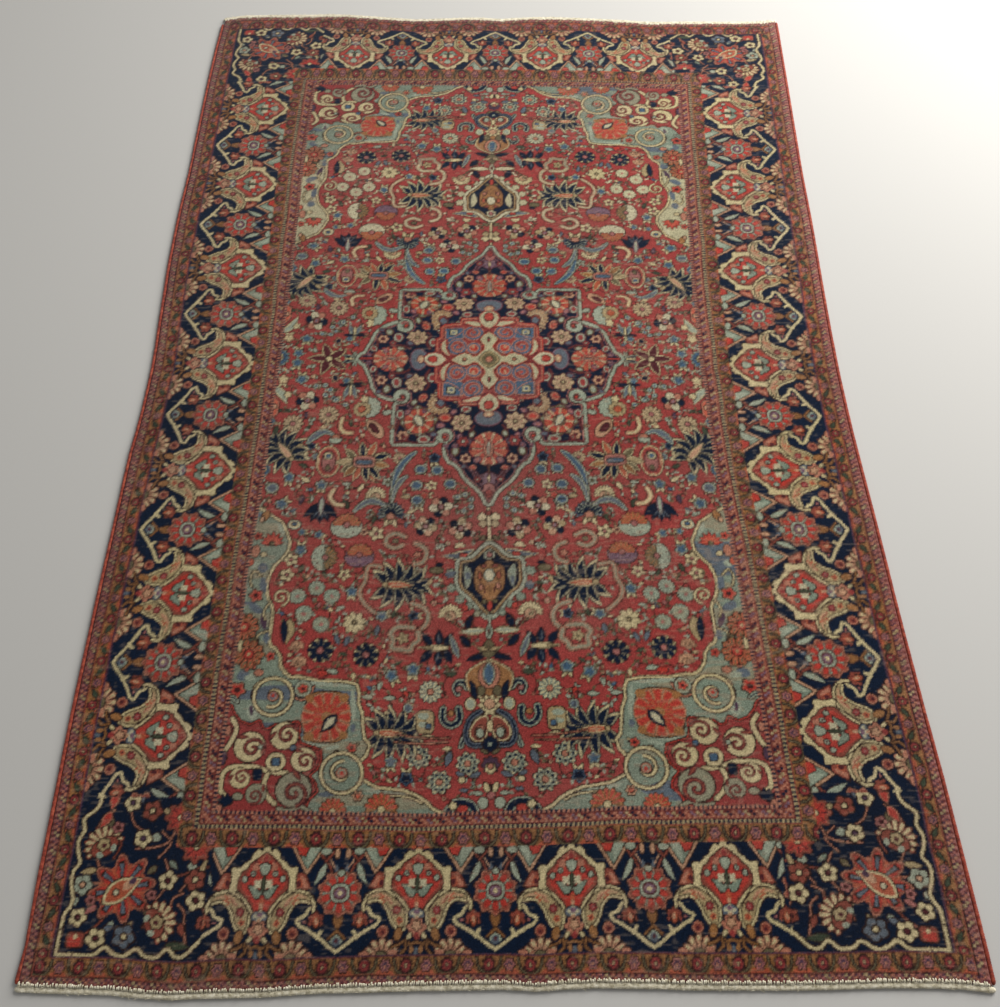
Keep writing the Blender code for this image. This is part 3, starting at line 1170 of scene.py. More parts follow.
draw(Spot(field, 3.5, 3.5), card("""
patch /cream/cream/outline/teal 350,322 340,341 333,358 335,374 344,388 354,400 359,415 362,430 \
361,448 357,461 350,473 347,483 347,506 348,531 344,543 335,549 327,560 324,576 314,590 302,598 \
290,597 276,600 262,603 240,602 220,603 203,606 199,618 199,634 193,648 191,661 190,671 187,690 \
180,698 183,711 193,721 197,735 190,750 178,757 164,764 146,766 124,768 104,776 92,784 84,793 70,800 \
60,812 410,812 410,286 394,294
"""))
draw(Spot(field), card("""
disc blue_grey 372 408 8 9 20
disc celadon 386 402 8 6
disc blue_grey 368 440 6 14 10
disc blue_grey 376 482 13 7 -30
disc violet 360 506 5 13 20
disc blue_grey 352 532 5 9
disc blue_grey 380 595 10 8 20
disc celadon 368 598 9 5
disc celadon 250 608 40 3.4 -4
disc celadon 207 640 4 26 6
disc blue_grey 205 676 4 7
disc celadon 262 700 22 4
disc celadon 236 706 12 3 10
disc celadon 360 653 8 13 10
disc violet 361 650 3 8 10
disc blue_grey 237 775 14 4.4 8
disc celadon 262 756 7 8
disc blue_grey 262 741 5 7
disc celadon 140 774 30 3 -10
disc celadon 170 770 12 4 -20
disc celadon 352 335 4 12 30
line /cream 2 372,424 384,414 390,428 386,444
line /cream 2 352,468 362,486 358,500
line /cream 2 352,520 366,528 362,548
line /cream 2 346,600 358,610 362,630 350,642
line /cream 2 197,700 210,714 230,712
line /cream 2 100,786 120,778 150,776 166,782
line /salmon 2 270,612 276,628 288,634 300,628
lotus 363,356
leaf /gold 378 300 26 6 70
disc /peach 387 318 3 5
disc /salmon 388 378 6 11
disc /coral 393 398 4 6
disc /cream 374 384 5 4
disc /celadon/sage 286 616 10 11
red_flower 378,459,0,1.2 286,616,0,.8 206,706,0,.8 373,575,0,1.3 386,618,20,1.3 342,562,0,.8 388,350,0,.8
disc /bright_red 386 511 6 15
disc /olive 371 541 6 9
edge_rosette 390,515,0,1.2 376,560,0,1.2
disc /cream 391 546 3 10
line /celadon/navy 2.4 384,636 392,630 400,634
disc /salmon 356 590 7 5
patch /salmon/coral 402,60 388,75 389,100 402,110
disc /peach 394 84 3.4 5
patch /bright_red/outline/madder 410,640 394,644 388,656 377,669 361,675 348,668 343,679 333,681 \
323,674 308,671 290,669 288,674 289,687 285,700 268,706 254,711 252,722 257,737 269,748 258,761 \
255,771 266,782 269,792 278,812 410,812
big_rosette 247,659
scrolled_disc 330,628,0,1.08 219,744,200,1.1
half_sun 159,796,-90 229,800,-90,.8
bloom /peach 194 777 8 6 .3
disc /coral 194 777 3
"""))
draw(Spot(field), card("""
line /cream 5.6 300,744 316,744 330,740
line /cream 6 326,746 330,762 324,778 312,790
line /cream 6 330,741 346,736 362,736 378,737 390,746 392,770 384,780
line /cream 6 388,664 380,678 384,696 392,712
line /sage 5 262,800 276,794 290,800 306,797
curl:sage:brick 287,769,100,1.34
curl 357,706,150,1.2
curl:sage:brick 340,776,60,.8
disc /cream 316 728 14
disc /blue 316 728 5.6 5.6 0 5
curl 308,688,200,1.1 276,724,140,.96 366,753,200,.8
disc /navy 341 747 6 8 0 4
fan /navy 380 793 18 3.4 5 -60 60 .1
disc /violet 393 724 4 10
disc /blue 293 706 4
disc /salmon 392 797 5 4
disc /salmon 392 682 4 7
disc /sage 366 780 7 5
disc /celadon 341 706 3
"""))


# ------------------------------------------------------------------ field, medallion
# A navy star with hooked sides, edged in pale teal, round a cross of cream and red scrolls.
# One quarter of it, in mm from its middle.

learn("""
red_lotus bright_red olive
  bloom wine/2 0 0 34 8 .16 22
  rays celadon 0 0 20 31 8 .2 22
  disc wine/beige 0 0 26
  rays 1 0 0 8 26 8 .72
  rays orange 0 0 19 25 8 .4
  bloom wine/2 0 0 12 8 .2
  leaf wine/celadon/ivory -12 0 24 4.6
long_lotus bright_red orange
  disc wine/beige 0 0 33 27
  rays 1 0 0 8 32 10 .7
  rays 2 0 0 21 31 10 .4
  rays wine 0 0 8 24 10 .1 18
  disc wine/salmon 0 0 16 8
  leaf wine/celadon -14 0 28 3
  leaf rose -8 0 16 1.2
wheel beige olive
  bloom wine/1 0 0 20 8 .22
  rays wine 0 0 6 17.6 8 .14 22
  ring rose 0 0 11 1.8 8
  bloom wine/2 0 0 5 8 .3
  disc cream 0 0 1.8
half_palmette beige brick
  bloom wine/1 0 0 21 16 .14 0 112
  rays wine 0 0 10 20.4 16 .18 11 108
  rays gold 0 0 12 19 16 .3 0 108
  disc wine/2 -2 0 8
  disc wine/blue_grey -5 -1 5.4 5.4 0 4
hook red_line cream
  scroll wine/2 0 0 10.6 5 1.1
  scroll 1 0 0 10.6 2.4 1.1
  disc wine/celadon 2 0 2
drop madder celadon
  disc wine/2 0 0 7.6 5.6
  disc 1 0 0 5.4 3.6
round_flower peach wine
  bloom wine/1 0 0 9 6 .28
  disc wine/2 0 0 2.4
""")

draw(Spot(field, 0, MEDALLION_Y), card("""
patch /celadon/celadon/celadon/outline/rose/navy 245,-33 244,0 238,8 231,11 225,27 220,38 216,48 \
213,62 208,71 201,79 191,84 179,88 176,76 166,69 154,69 145,76 142,86 145,98 154,105 168,107 168,183 \
100,183 98,176 97,163 88,155 76,153 64,159 60,170 63,181 71,188 74,199 71,212 66,222 57,227 47,239 \
41,252 32,263 20,274 10,285 3,299 0,307 -12,307 -12,-33
disc /celadon 162 86 15
disc /celadon 80 170 15
scroll /rose 162 87 9 3.4 1 30
scroll /rose 80 171 9 3.4 1 80
disc /bright_red 160 88 3
disc /bright_red 80 173 3
line wine/lilac 1.4 104,150 96,140 104,126 120,110
line wine/lilac 1.4 150,104 142,112 128,108
line wine/red_line 1.6 60,150 66,130 80,118 76,106
line wine/red_line 1.6 118,70 112,60 118,40 112,26
line wine/red_line 1.6 26,150 34,166 30,186 34,206
line wine/red_line 1.6 150,26 166,34 186,32
line wine/red_line 1.6 206,62 212,44 214,20 222,8
line wine/red_line 1.6 170,186 150,182 130,186 108,182
line wine/red_line 1.6 167,120 164,140 168,160
line wine/lilac 1.4 40,236 30,246 22,262 10,276
line wine/lilac 1.4 56,226 66,214 66,200
line wine/lilac 2 0,248 16,256 24,246
disc wine/lilac/blue_grey 0 134 23 15
disc wine/lilac/blue_grey 133 0 14 24
bloom wine/lilac 0 262 14 7 .3 90
disc wine/madder 0 288 5 12
leaf wine/cream -2 250 24 4 90
leaf wine/rose 0 270 20 4 60
long_lotus 187,-2
long_lotus 0,199,90,1.04
red_lotus 127,139,120
bar wine/bright_red/peach 3 222,-2 243,-2
bar wine/olive 1.6 0,232 0,250
wheel 49,142 137,56
half_palmette 91,103,45,1.06
hook 95,76,20 58,94,100 107,128,0,.5 176,150,0,.5
drop 173,55,90,1.5 107,43,90,1.3 162,125,90,1.2 117,178,0,1.4 219,25,60 42,113,0,1.2
drop:bright_red:salmon 80,131,0,1.4 122,88,60,1.2 125,90,0,.6 28,238,0,.8 219,-25,60
drop:celadon:olive 191,70,80,1.2 59,204,80,1.2 138,99,60,.9 30,168,70,.9 168,26,10,.9
drop:rose:lilac 88,148,0,.9 148,120,60,.8 52,172,90,.8 64,118,30,.8 196,20,40,.7 20,222,50,.9
drop:blue_grey:violet 150,40,30,.9 36,184,70,.9 100,168,0,.9 206,76,30,.7 44,236,40,.7
round_flower 202,50,0,1.15 41,220,20,1.1 155,170,0,1.15 207,-30,0,.9
round_flower:madder:celadon 46,183,0,1.2 20,262,0,.7 150,176,0,.6 183,40,0,.7
round_flower:lilac:rose 76,192,0,.5 118,118,0,.5 228,10,0,.6 60,192,0,.6
"""))

# The middle: a pale cross edged in red, with red and blue scrolls in its quarters
draw(Spot(field, 0, MEDALLION_Y), card("""
patch wine/bright_red/salmon/madder -2,-2 98,-2 98,50 90,54 90,84 84,88 54,90 50,101 -2,101
patch wine/salmon/blue 52,52 66,30 84,50 84,82 50,82 32,66
line salmon 1.8 50,86 52,72 60,62 74,54 88,52
disc salmon/blue 30 67 19 19
disc salmon/madder 30 67 13 13
scroll salmon/blue 30 67 11 4 1.1 90
disc salmon/blue 61 31 18 19
disc salmon/madder 61 31 12 13
scroll salmon/blue 61 31 10 4 1.1 180
disc bright_red 30 67 2.6
disc bright_red 61 31 2.6
disc salmon/blue 29 27 13 13
disc peach/bright_red 29 27 8 8
disc peach 30 30 3.6 3.6 0 5
disc /linen 69 70 7 7 0 5
disc blue 69 70 3 3 0 5
swell wine/bright_red/linen 0 6,84,1 14,89,3 25,91,4.4 37,94,3 47,95,.8
swell wine/bright_red/linen 0 76,10,1 83,18,3 87,29,4.4 87,40,3 84,48,.8
patch /bright_red/linen -2,-2 74,-2 66,5 58,10 47,15 37,11 31,6 24,7 17,14 8,24 7,31 11,38 16,47 11,57 \
6,63 -2,70
disc /salmon 47 0 3.4
disc /madder 0 47 1.6 6
disc /sand 0 0 19 19 0 1.4
disc olive 0 0 15 15 0 1.6
disc /salmon 0 0 6
patch wine/bright_red/linen -2,78 5,84 13,90 18,101 16,111 8,118 -2,121
patch wine/bright_red/ivory 80,-2 86,5 92,12 102,16 113,14 120,7 123,-2
patch /bright_red -2,98 5,97 9,104 6,113 -2,115
patch /bright_red 100,-2 100,5 106,8 113,5 116,-2
disc wine/peach 0 126 9 6
disc wine/peach 129 0 6 9
disc cream 0 126 4 2
disc cream 129 0 2 4
"""))


# ------------------------------------------------------------------ field, fillings and stems
# The weaver leaves no bare ground: small tulips, leaves and buds fill what is left between
# the larger motifs, and thin dark stems, drawn on the ground alone, link each to its neighbours.

FILLINGS = [
    # mm of ground that it needs on each side of its middle, the motifs in turn, and their size
    (11.5, ["tulip:blue:celadon", "blossom:cream:rose", "bud:bright_red:celadon",
            "round_bud:navy:peach", "tulip:cream:sand", "blossom:salmon:cream"], 0.84),
    (8.0, ["bud:peach:olive", "sprig:celadon", "bud:cream:blue_grey", "sprig:leaf",
           "sprig:blue_grey", "bud:rose:olive", "berry:cream:rose", "bud:blue:celadon"], 0.74),
    (5.4, ["sprig:celadon", "berry:peach:wine", "sprig:cream", "berry:celadon:navy",
           "sprig:olive", "berry:salmon:wine"], 0.50),
]
FILLING_TRIES = 9000         # places tried for each size of filling
FILLING_EDGE = (396.0, 800.0)        # how far out in the quarter they go
FILLING_SEED = 11
STEM_REACH = 62.0            # mm, the longest stem
STEM_WIDTH = 2.1
STEM_BOW = 0.22              # to one side, as a share of its length
STEM_LEAF = (9.0, 2.2)       # its leaf's length and half width
GROUND = DYE_NUMBER["ground_red"]

shuttle = np.random.default_rng(FILLING_SEED)
stops = [place[:2] for _, *words in FLOWERS for place in
         ([float(number) for number in word.split(",")] for word in words)]
for room, names, size in FILLINGS:
    tries = shuttle.uniform((0.0, MEDALLION_Y + 4.0), FILLING_EDGE, (FILLING_TRIES, 2))
    count = 0
    for x, y in tries:
        rows, columns = field.window(x, y, room)
        if np.all(field.squares[rows, columns] == GROUND):
            turn = shuttle.integers(0, 12) * 30.0
            draw(Spot(field, x, y, turn, size), [[names[count % len(names)], "0,0"]])
            stops.append([x, y])
            count += 1

stems = Paper(*FIELD_PAPER, "ground_red")
stops = np.array(stops)
for i, (x, y) in enumerate(stops):
    away = np.hypot(*(stops - (x, y)).T)
    for j in np.argsort(away)[1:3]:
        if away[j] < STEM_REACH:
            hand = STEM_BOW if (i + j) % 2 else -STEM_BOW
            bow = (stops[j] - (x, y))[::-1] * (hand, -hand)
            middle = (stops[j] + (x, y)) / 2.0 + bow
            Spot(stems).line("outline", 0.0, STEM_WIDTH, [(x, y), middle, stops[j]])
            dye = "celadon" if i % 2 else "olive"
            Spot(stems).leaf(dye, 0.0, *middle, *STEM_LEAF, 37.0 * i)
bare = field.squares == GROUND
field.squares[bare] = stems.squares[bare]


# ------------------------------------------------------------------ the knots' dyes
# Each knot takes its dye from the papers, folded out to the four quarters and along the
# borders. No row is laid quite straight by hand, so each place is read a little off.

SEED = 7

# Depths in mm from the pile's edge, on the long sides. The ends have the same steps at depths
# of their own.
GUARD_FROM = 17.0
GUARD_TO = 35.0
NAVY_FROM = 39.0
NAVY_TO = 188.0              # where the inner guard starts
INNER_GUARD_TO = 208.0
FIELD_FROM = 240.0
SIDE_DEPTHS = (0, GUARD_FROM, GUARD_TO, NAVY_FROM, NAVY_TO, INNER_GUARD_TO, FIELD_FROM)
NEAR_DEPTHS = (0, 13, 36, 39, 189, 214, 242)
FAR_DEPTHS = (0, 17, 42, 44, 185, 217, 240)

# Where a rosette or palmette of each repeat has its middle, in mm on the loom
SIDE_GUARD_ROSETTE = -213.0
END_GUARD_ROSETTE = -555.0
INNER_SIDE_ROSETTE = -838.0
INNER_END_ROSETTE = 98.0
SIDE_PALMETTE = 15.0
END_BORDER_ROSETTE = -3.0
END_UNIT = 104.7             # mm from a palmette to the next rosette, on the ends
INNER_GUARD_STRETCH = 1.07   # the inner guard's repeat against that of the ends' guard

# The corners' drawing starts at these distances from the middle lines, and ends with the navy
CORNER_ACROSS = 392.0
CORNER_ALONG = 782.0
FAR_CORNER_ALONG = 812.0
CORNER_END = HALF_LENGTH - NAVY_FROM

# Where the middle line wanders, and how the far half's figures sit against the near half's
MIDDLE_LINE = ((-802, -600, -450, 0, 802), (-8, -8, -4.5, -3, -4))
FAR_PLACES = (27, 79, 103, 125, 161, 195, 211, 314, 455, 517, 562, 661, 702, 802)
FAR_FIGURES = (-27, 28, 58, 76, 112, 161, 175, 291, 435, 500, 547, 652, 703, 802)

# A stretch of the far half, whose pale wool was nearly undyed: its middle, its half length and
# how far its edges wander, in mm
UNDYED_MIDDLE = 430.0
UNDYED_HALF = 111.0
UNDYED_WANDER = 10.0


def drift(u, v, across, along, seed):
    """Smooth random values from -1 to 1, that change over so many mm across and along."""
    columns, rows = int(2 * HALF_WIDTH / across) + 3, int(2 * HALF_LENGTH / along) + 3
    random = np.random.default_rng(seed).uniform(-1.0, 1.0, (rows + 1, columns + 1))
    x = np.clip((u + HALF_WIDTH) / across, 0.0, columns - 1.001)
    y = np.clip((v + HALF_LENGTH) / along, 0.0, rows - 1.001)
    i, j = x.astype(int), y.astype(int)
    x, y = x - i, y - j
    x, y = x * x * (3 - 2 * x), y * y * (3 - 2 * y)
    low = random[j, i] * (1 - x) + random[j, i + 1] * x
    high = random[j + 1, i] * (1 - x) + random[j + 1, i + 1] * x
    return low * (1 - y) + high * y


def folded(value, pitch):
    """Distance from the nearest multiple of the pitch."""
    return np.abs(np.mod(value + pitch / 2.0, pitch) - pitch / 2.0)


def stripe_dyes(depth, along):
    """The narrow stripes on both sides of the guards, by their depth from the pile's edge."""
    def pick(test, yes, no):
        return np.where(test, DYE_NUMBER[yes], DYE_NUMBER[no])

    def chequer(first, pitch, yes, no):
        """Blocks of two dyes in turn: the first one's length, and the length of both."""
        return pick(np.mod(along, pitch) < first, yes, no)

    def specks(parting, shift, pitch, radius, names, ground):
        """Two staggered rows of specks on both sides of a depth, each speck in the next dye."""
        place = along + shift * (depth > parting)
        away = folded(place, pitch)
        turn = np.mod(np.round(place / pitch), len(names)).astype(int)
        return np.where(away < radius, np.array([DYE_NUMBER[name] for name in names])[turn],
                        ground(away))

    out = np.full(depth.shape, DYE_NUMBER["brick"], np.uint8)
    for start, stop, dyes in [
        (0, 4.5, chequer(4.4, 9.0, "rose", "red_line")),
        (4.5, 13, specks(8.5, 4.0, 8.6, 2.0, ("salmon", "rose", "sand"),
                         lambda away: pick(away < 3.2, "red_line", "violet"))),
        (13, 15, DYE_NUMBER["outline"]),
        (15, GUARD_FROM, DYE_NUMBER["brick"]),
        (GUARD_TO, 37, DYE_NUMBER["red_line"]),
        (37, NAVY_FROM, DYE_NUMBER["violet"]),
        (INNER_GUARD_TO, 210, DYE_NUMBER["brick"]),
        (210, 216.5, chequer(3.4, 6.7, "navy", "sand")),
        (216.5, 219, DYE_NUMBER["red_line"]),
        (219, 222, chequer(3.4, 6.7, "salmon", "brick")),
        (222, 231, specks(226.5, 4.2, 8.4, 2.2, ("salmon", "lilac", "sand", "navy"),
                          lambda away: pick(folded(along, 11.8) < 3.4, "red_line", "brick"))),
        (231, 234, DYE_NUMBER["red_line"]),
        (234, FIELD_FROM, chequer(3.4, 6.7, "navy", "salmon")),
    ]:
        out = np.where((depth >= start) & (depth < stop), dyes, out)
    return out


def knot_dyes(u, v):
    """The dye number of the knot at each place on the loom."""
    side_depth = HALF_WIDTH - np.abs(u)
    from_end = HALF_LENGTH - np.abs(v)
    end_depth = np.where(v < 0, np.interp(from_end, NEAR_DEPTHS, SIDE_DEPTHS),
                         np.interp(from_end, FAR_DEPTHS, SIDE_DEPTHS))
    at_end = end_depth < side_depth
    depth = np.minimum(side_depth, end_depth)
    along = np.where(at_end, u, v)
    dyes = stripe_dyes(depth, along)

    # Guards: the end ones run right across, and the side ones stop against them
    outer_end = (end_depth >= GUARD_FROM) & (end_depth < GUARD_TO)
    outer_side = (side_depth >= GUARD_FROM) & (side_depth < GUARD_TO) & (end_depth >= GUARD_TO)
    x = folded(v - SIDE_GUARD_ROSETTE, 2 * SIDE_GUARD_HALF)
    dyes = np.where(outer_side, side_guard.read(x, side_depth - GUARD_FROM), dyes)
    x = folded(u - END_GUARD_ROSETTE, 2 * END_GUARD_HALF)
    arched = arched_guard.read(x, GUARD_TO - end_depth)
    arched = np.where((v > 0) & (arched == DYE_NUMBER["rust"]), DYE_NUMBER["brick"], arched)
    dyes = np.where(outer_end & (side_depth >= GUARD_FROM), arched, dyes)
    inner_end = (end_depth >= NAVY_TO) & (end_depth < INNER_GUARD_TO) & (side_depth >= NAVY_TO)
    inner_side = ((side_depth >= NAVY_TO) & (side_depth < INNER_GUARD_TO)
                  & (end_depth >= INNER_GUARD_TO))
    place = np.where(inner_end, u - INNER_END_ROSETTE, v - INNER_SIDE_ROSETTE)
    x = folded(place, 2 * END_GUARD_HALF * INNER_GUARD_STRETCH) / INNER_GUARD_STRETCH
    from_field = INNER_GUARD_TO - np.where(inner_end, end_depth, side_depth)
    inner = arched_guard.read(x, from_field * (GUARD_DEPTH / (INNER_GUARD_TO - NAVY_TO)))
    dyes = np.where(inner_end | inner_side, inner, dyes)

    # Navy border: the repeat along the sides and ends, then the corners
    navy = (depth >= NAVY_FROM) & (depth < NAVY_TO)
    x = np.where(at_end, folded((u - END_BORDER_ROSETTE) * UNIT / END_UNIT + UNIT, 2 * UNIT),
                 folded(v - SIDE_PALMETTE, 2 * UNIT))
    dyes = np.where(navy, repeat.read(x, depth - NAVY_FROM), dyes)
    far_v = np.interp(v, (FAR_CORNER_ALONG, CORNER_END), (CORNER_ALONG, CORNER_END))
    near_v = np.where(v < 0, -v, far_v)
    in_corner = navy & (np.abs(u) > CORNER_ACROSS) & (near_v > CORNER_ALONG)
    dyes = np.where(in_corner, corner.read(np.abs(u), near_v), dyes)

    # Field, with its pale stretch, and with lots of teal that ran to sage or to blue-grey
    middle = np.interp(v, *MIDDLE_LINE)
    off = u - middle
    x = np.abs(off) * FIELD_HALF_WIDTH / (FIELD_HALF_WIDTH - np.sign(off) * middle)
    y = np.where(v < FAR_PLACES[0], -v, np.interp(v, FAR_PLACES, FAR_FIGURES))
    found = field.read(x, y)
    wander = UNDYED_WANDER * drift(u, v, 160, 40, SEED + 14)
    undyed = np.abs(v - UNDYED_MIDDLE - wander) < UNDYED_HALF
    for dyed, plain in (("teal", "linen"), ("sage", "linen"), ("celadon", "ivory")):
        found = np.where(undyed & (found == DYE_NUMBER[dyed]), DYE_NUMBER[plain], found)
    lot = drift(u, v, 240, 26, SEED + 12) + 0.5 * drift(u, v, 50, 16, SEED + 13)
    for low, high, dye in ((0.35, 2.0, "sage"), (-2.0, -0.62, "blue_grey")):
        found = np.where((found == DYE_NUMBER["teal"]) & (lot > low) & (lot < high),
                         DYE_NUMBER[dye], found)
    return np.where(depth >= FIELD_FROM, found, dyes)


# ------------------------------------------------------------------ wool pile
# Hand-spun wool is knotted round pairs of warps, row by row, then clipped short. Use has worn
# it nearly to the knots. It is matt, with a faint sheen at low angles, and no two knots took
# the dye quite alike. The pile is cut into bands of rows, finer where the eye is nearest.

PILE_TOP = 7.0               # mm from the floor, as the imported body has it
PILE_SWELL = 0.7
PILE_WAVES = (
    # radians of phase per metre across and along, phase, share of the swell
    (9.1, 2.3, 0.4, 0.38),
    (3.7, -6.9, 1.9, 0.38),
    (16.0, 11.0, 0.0, 0.24),
)
PILE_BANDS = (
    # from row, to row, steps across and along, mm on the loom
    (-1042.0, -822.0, 2.0, 2.0),
    (-822.0, -602.0, 2.0, 2.0),
    (-602.0, -192.0, 2.6, 2.9),
    (-192.0, 218.0, 2.6, 2.9),
    (218.0, 628.0, 2.6, 2.9),
    (628.0, 1042.0, 2.6, 2.9),
)
KNOT_LIFT = 0.18             # mm that one knot stands above or below the next
RIM_DROP = 1.3               # mm that the worn rim lies lower
RIM_REACH = 3.0              # mm in from the edge
HEM_HEIGHT = 2.6             # mm, where the pile's sides end, over the foundation
HEM_SPLAY = 0.15

TONE_DRIFTS = (
    # share of the tone, and mm across and along over which it changes
    (0.03, 700, 9),
    (0.06, 420, 44),
    (0.06, 85, 85),
    (0.05, 26, 7),
)
KNOT_TONE = 0.09             # from one knot to the next
COTTON_FROM = 0.52           # of the wear, where the cotton starts to show through
COTTON_GAIN = 1.6
COTTON_MOST = 0.42
DUST_SHARE = 0.15            # of dust in every dye, how much that varies, and the most
DUST_DRIFT = 0.10
DUST_MOST = 0.5
WORN_PLACE = (-60.0, -310.0)         # mm, the dustiest place, how far it reaches, and its share
WORN_REACH = (260.0, 210.0)
WORN_SHARE = 0.20
DUST_TINT = (1.25, 0.94, 0.76)       # a dye's own grey, turned to a warm brown
GREY_WEIGHTS = (0.30, 0.50, 0.20)
SLIP_ACROSS = 1.2            # mm by which the rows wander off the paper, and single knots
SLIP_ALONG = 1.4
KNOT_SLIP = 0.35


def faded(shades, u, v, random):
    """The dyes after years of light and feet: streaked by the row, and greyed where worn."""
    tone = 1.0 + KNOT_TONE * random.standard_normal(u.shape)
    for number, (share, across, along) in enumerate(TONE_DRIFTS):
        tone += share * drift(u, v, across, along, SEED + 1 + number)
    shades = shades * tone[..., None]

    # Worn knots let the cotton show through as short pale dashes along the rows
    bare = drift(u, v, 11, 3.2, SEED + 5) + 0.35 * drift(u, v, 160, 160, SEED + 6)
    bare = np.clip((bare - COTTON_FROM) * COTTON_GAIN, 0.0, COTTON_MOST)[..., None]
    cotton = np.array(linear("#a08a76"))
    shades = shades * (1.0 - bare) + cotton * bare * (0.25 + 0.75 * np.sqrt(shades / 0.35))

    # Dust and wear pull every dye towards a dull brown, most just left of the near half's middle
    away = ((u - WORN_PLACE[0]) / WORN_REACH[0]) ** 2 + ((v - WORN_PLACE[1]) / WORN_REACH[1]) ** 2
    share = DUST_SHARE + DUST_DRIFT * drift(u, v, 90, 90, SEED + 7) + WORN_SHARE * np.exp(-away)
    share = np.clip(share, 0.0, DUST_MOST)[..., None]
    grey = shades @ np.array(GREY_WEIGHTS)
    dust = grey[..., None] * np.array(DUST_TINT)
    return shades * (1.0 - share) + dust * share


def knot_colours(u, v, step, random):
    """The finished colour at each place, in linear light: the dyes that meet there, mixed."""
    slip_u = SLIP_ACROSS * drift(u, v, 62, 62, SEED + 8)
    slip_u += KNOT_SLIP * random.standard_normal(u.shape)
    slip_v = SLIP_ALONG * drift(u, v, 58, 70, SEED + 9)
    slip_v += KNOT_SLIP * random.standard_normal(u.shape)
    table = np.array([linear(colour) for colour in DYES.values()])
    offsets = (-0.33, 0.0, 0.33)
    mixed = sum(table[knot_dyes(u + slip_u + a * step[0], v + slip_v + b * step[1])]
                for a in offsets for b in offsets) / len(offsets) ** 2
    return faded(mixed, u, v, random)


def wool():
    """Worn wool pile: matt and slightly dusty, with the grain of the knots and of the yarn, and painted
    shade between the knots' tufts, with a painted highlight on their tops.
    """
    finish, tree = new_finish("wool_pile")
    dye = add_node(tree, "ShaderNodeAttribute", attribute_name="dye")
    knot = add_node(tree, "ShaderNodeAttribute", attribute_name="knot")
    place = add_node(tree, "ShaderNodeTexCoord").outputs["Object"]
    tufts = add_node(tree, "ShaderNodeTexVoronoi", {
        "Vector": knot.outputs["Vector"], "Scale": 1.0, "Randomness": 0.6})
    fibre = 0.7 * MM
    fibres = add_node(tree, "ShaderNodeTexNoise", {
        "Vector": place, "Scale": 1.0 / fibre, "Detail": 2.0, "Roughness": 0.6})
    # Painted shade and highlight: the dye is darkened to 0.70 towards each tuft's rim, where the bump lies
    # low, and lightened to 1.14 at its middle, the tuft's top
    shade = add_node(tree, "ShaderNodeMapRange", {
        0: tufts.outputs["Distance"], 1: 0.10, 2: 0.75, 3: 1.14, 4: 0.70})
    grain = add_node(tree, "ShaderNodeMapRange", {
        0: fibres.outputs[0], 1: 0.25, 2: 0.75, 3: 0.80, 4: 1.20})
    # The base colour carries the painted tuft shade together with the yarn's grain
    both = add_node(tree, "ShaderNodeMath", {0: shade.outputs[0], 1: grain.outputs[0]},
                    operation="MULTIPLY")
    colour = add_node(tree, "ShaderNodeVectorMath", {0: dye.outputs["Color"], 3: both.outputs[0]},
                      operation="SCALE")
    height = add_node(tree, "ShaderNodeMath", {
        0: tufts.outputs["Distance"], 1: -1.0, 2: fibres.outputs[0]}, operation="MULTIPLY_ADD")
    bump = add_node(tree, "ShaderNodeBump", {
        "Height": height.outputs[0], "Strength": 0.5, "Distance": 0.7 * MM})
    shader = add_node(tree, "ShaderNodeBsdfPrincipled", {
        "Base Color": colour.outputs[0], "Roughness": 1.0, "Specular IOR Level": 0.04,
        "Sheen Weight": 0.24, "Sheen Roughness": 0.4, "Sheen Tint": (0.85, 0.93, 1.0, 1.0),
        "Normal": bump.outputs[0]})
    add_node(tree, "ShaderNodeOutputMaterial", {"Surface": shader.outputs[0]})
    return finish


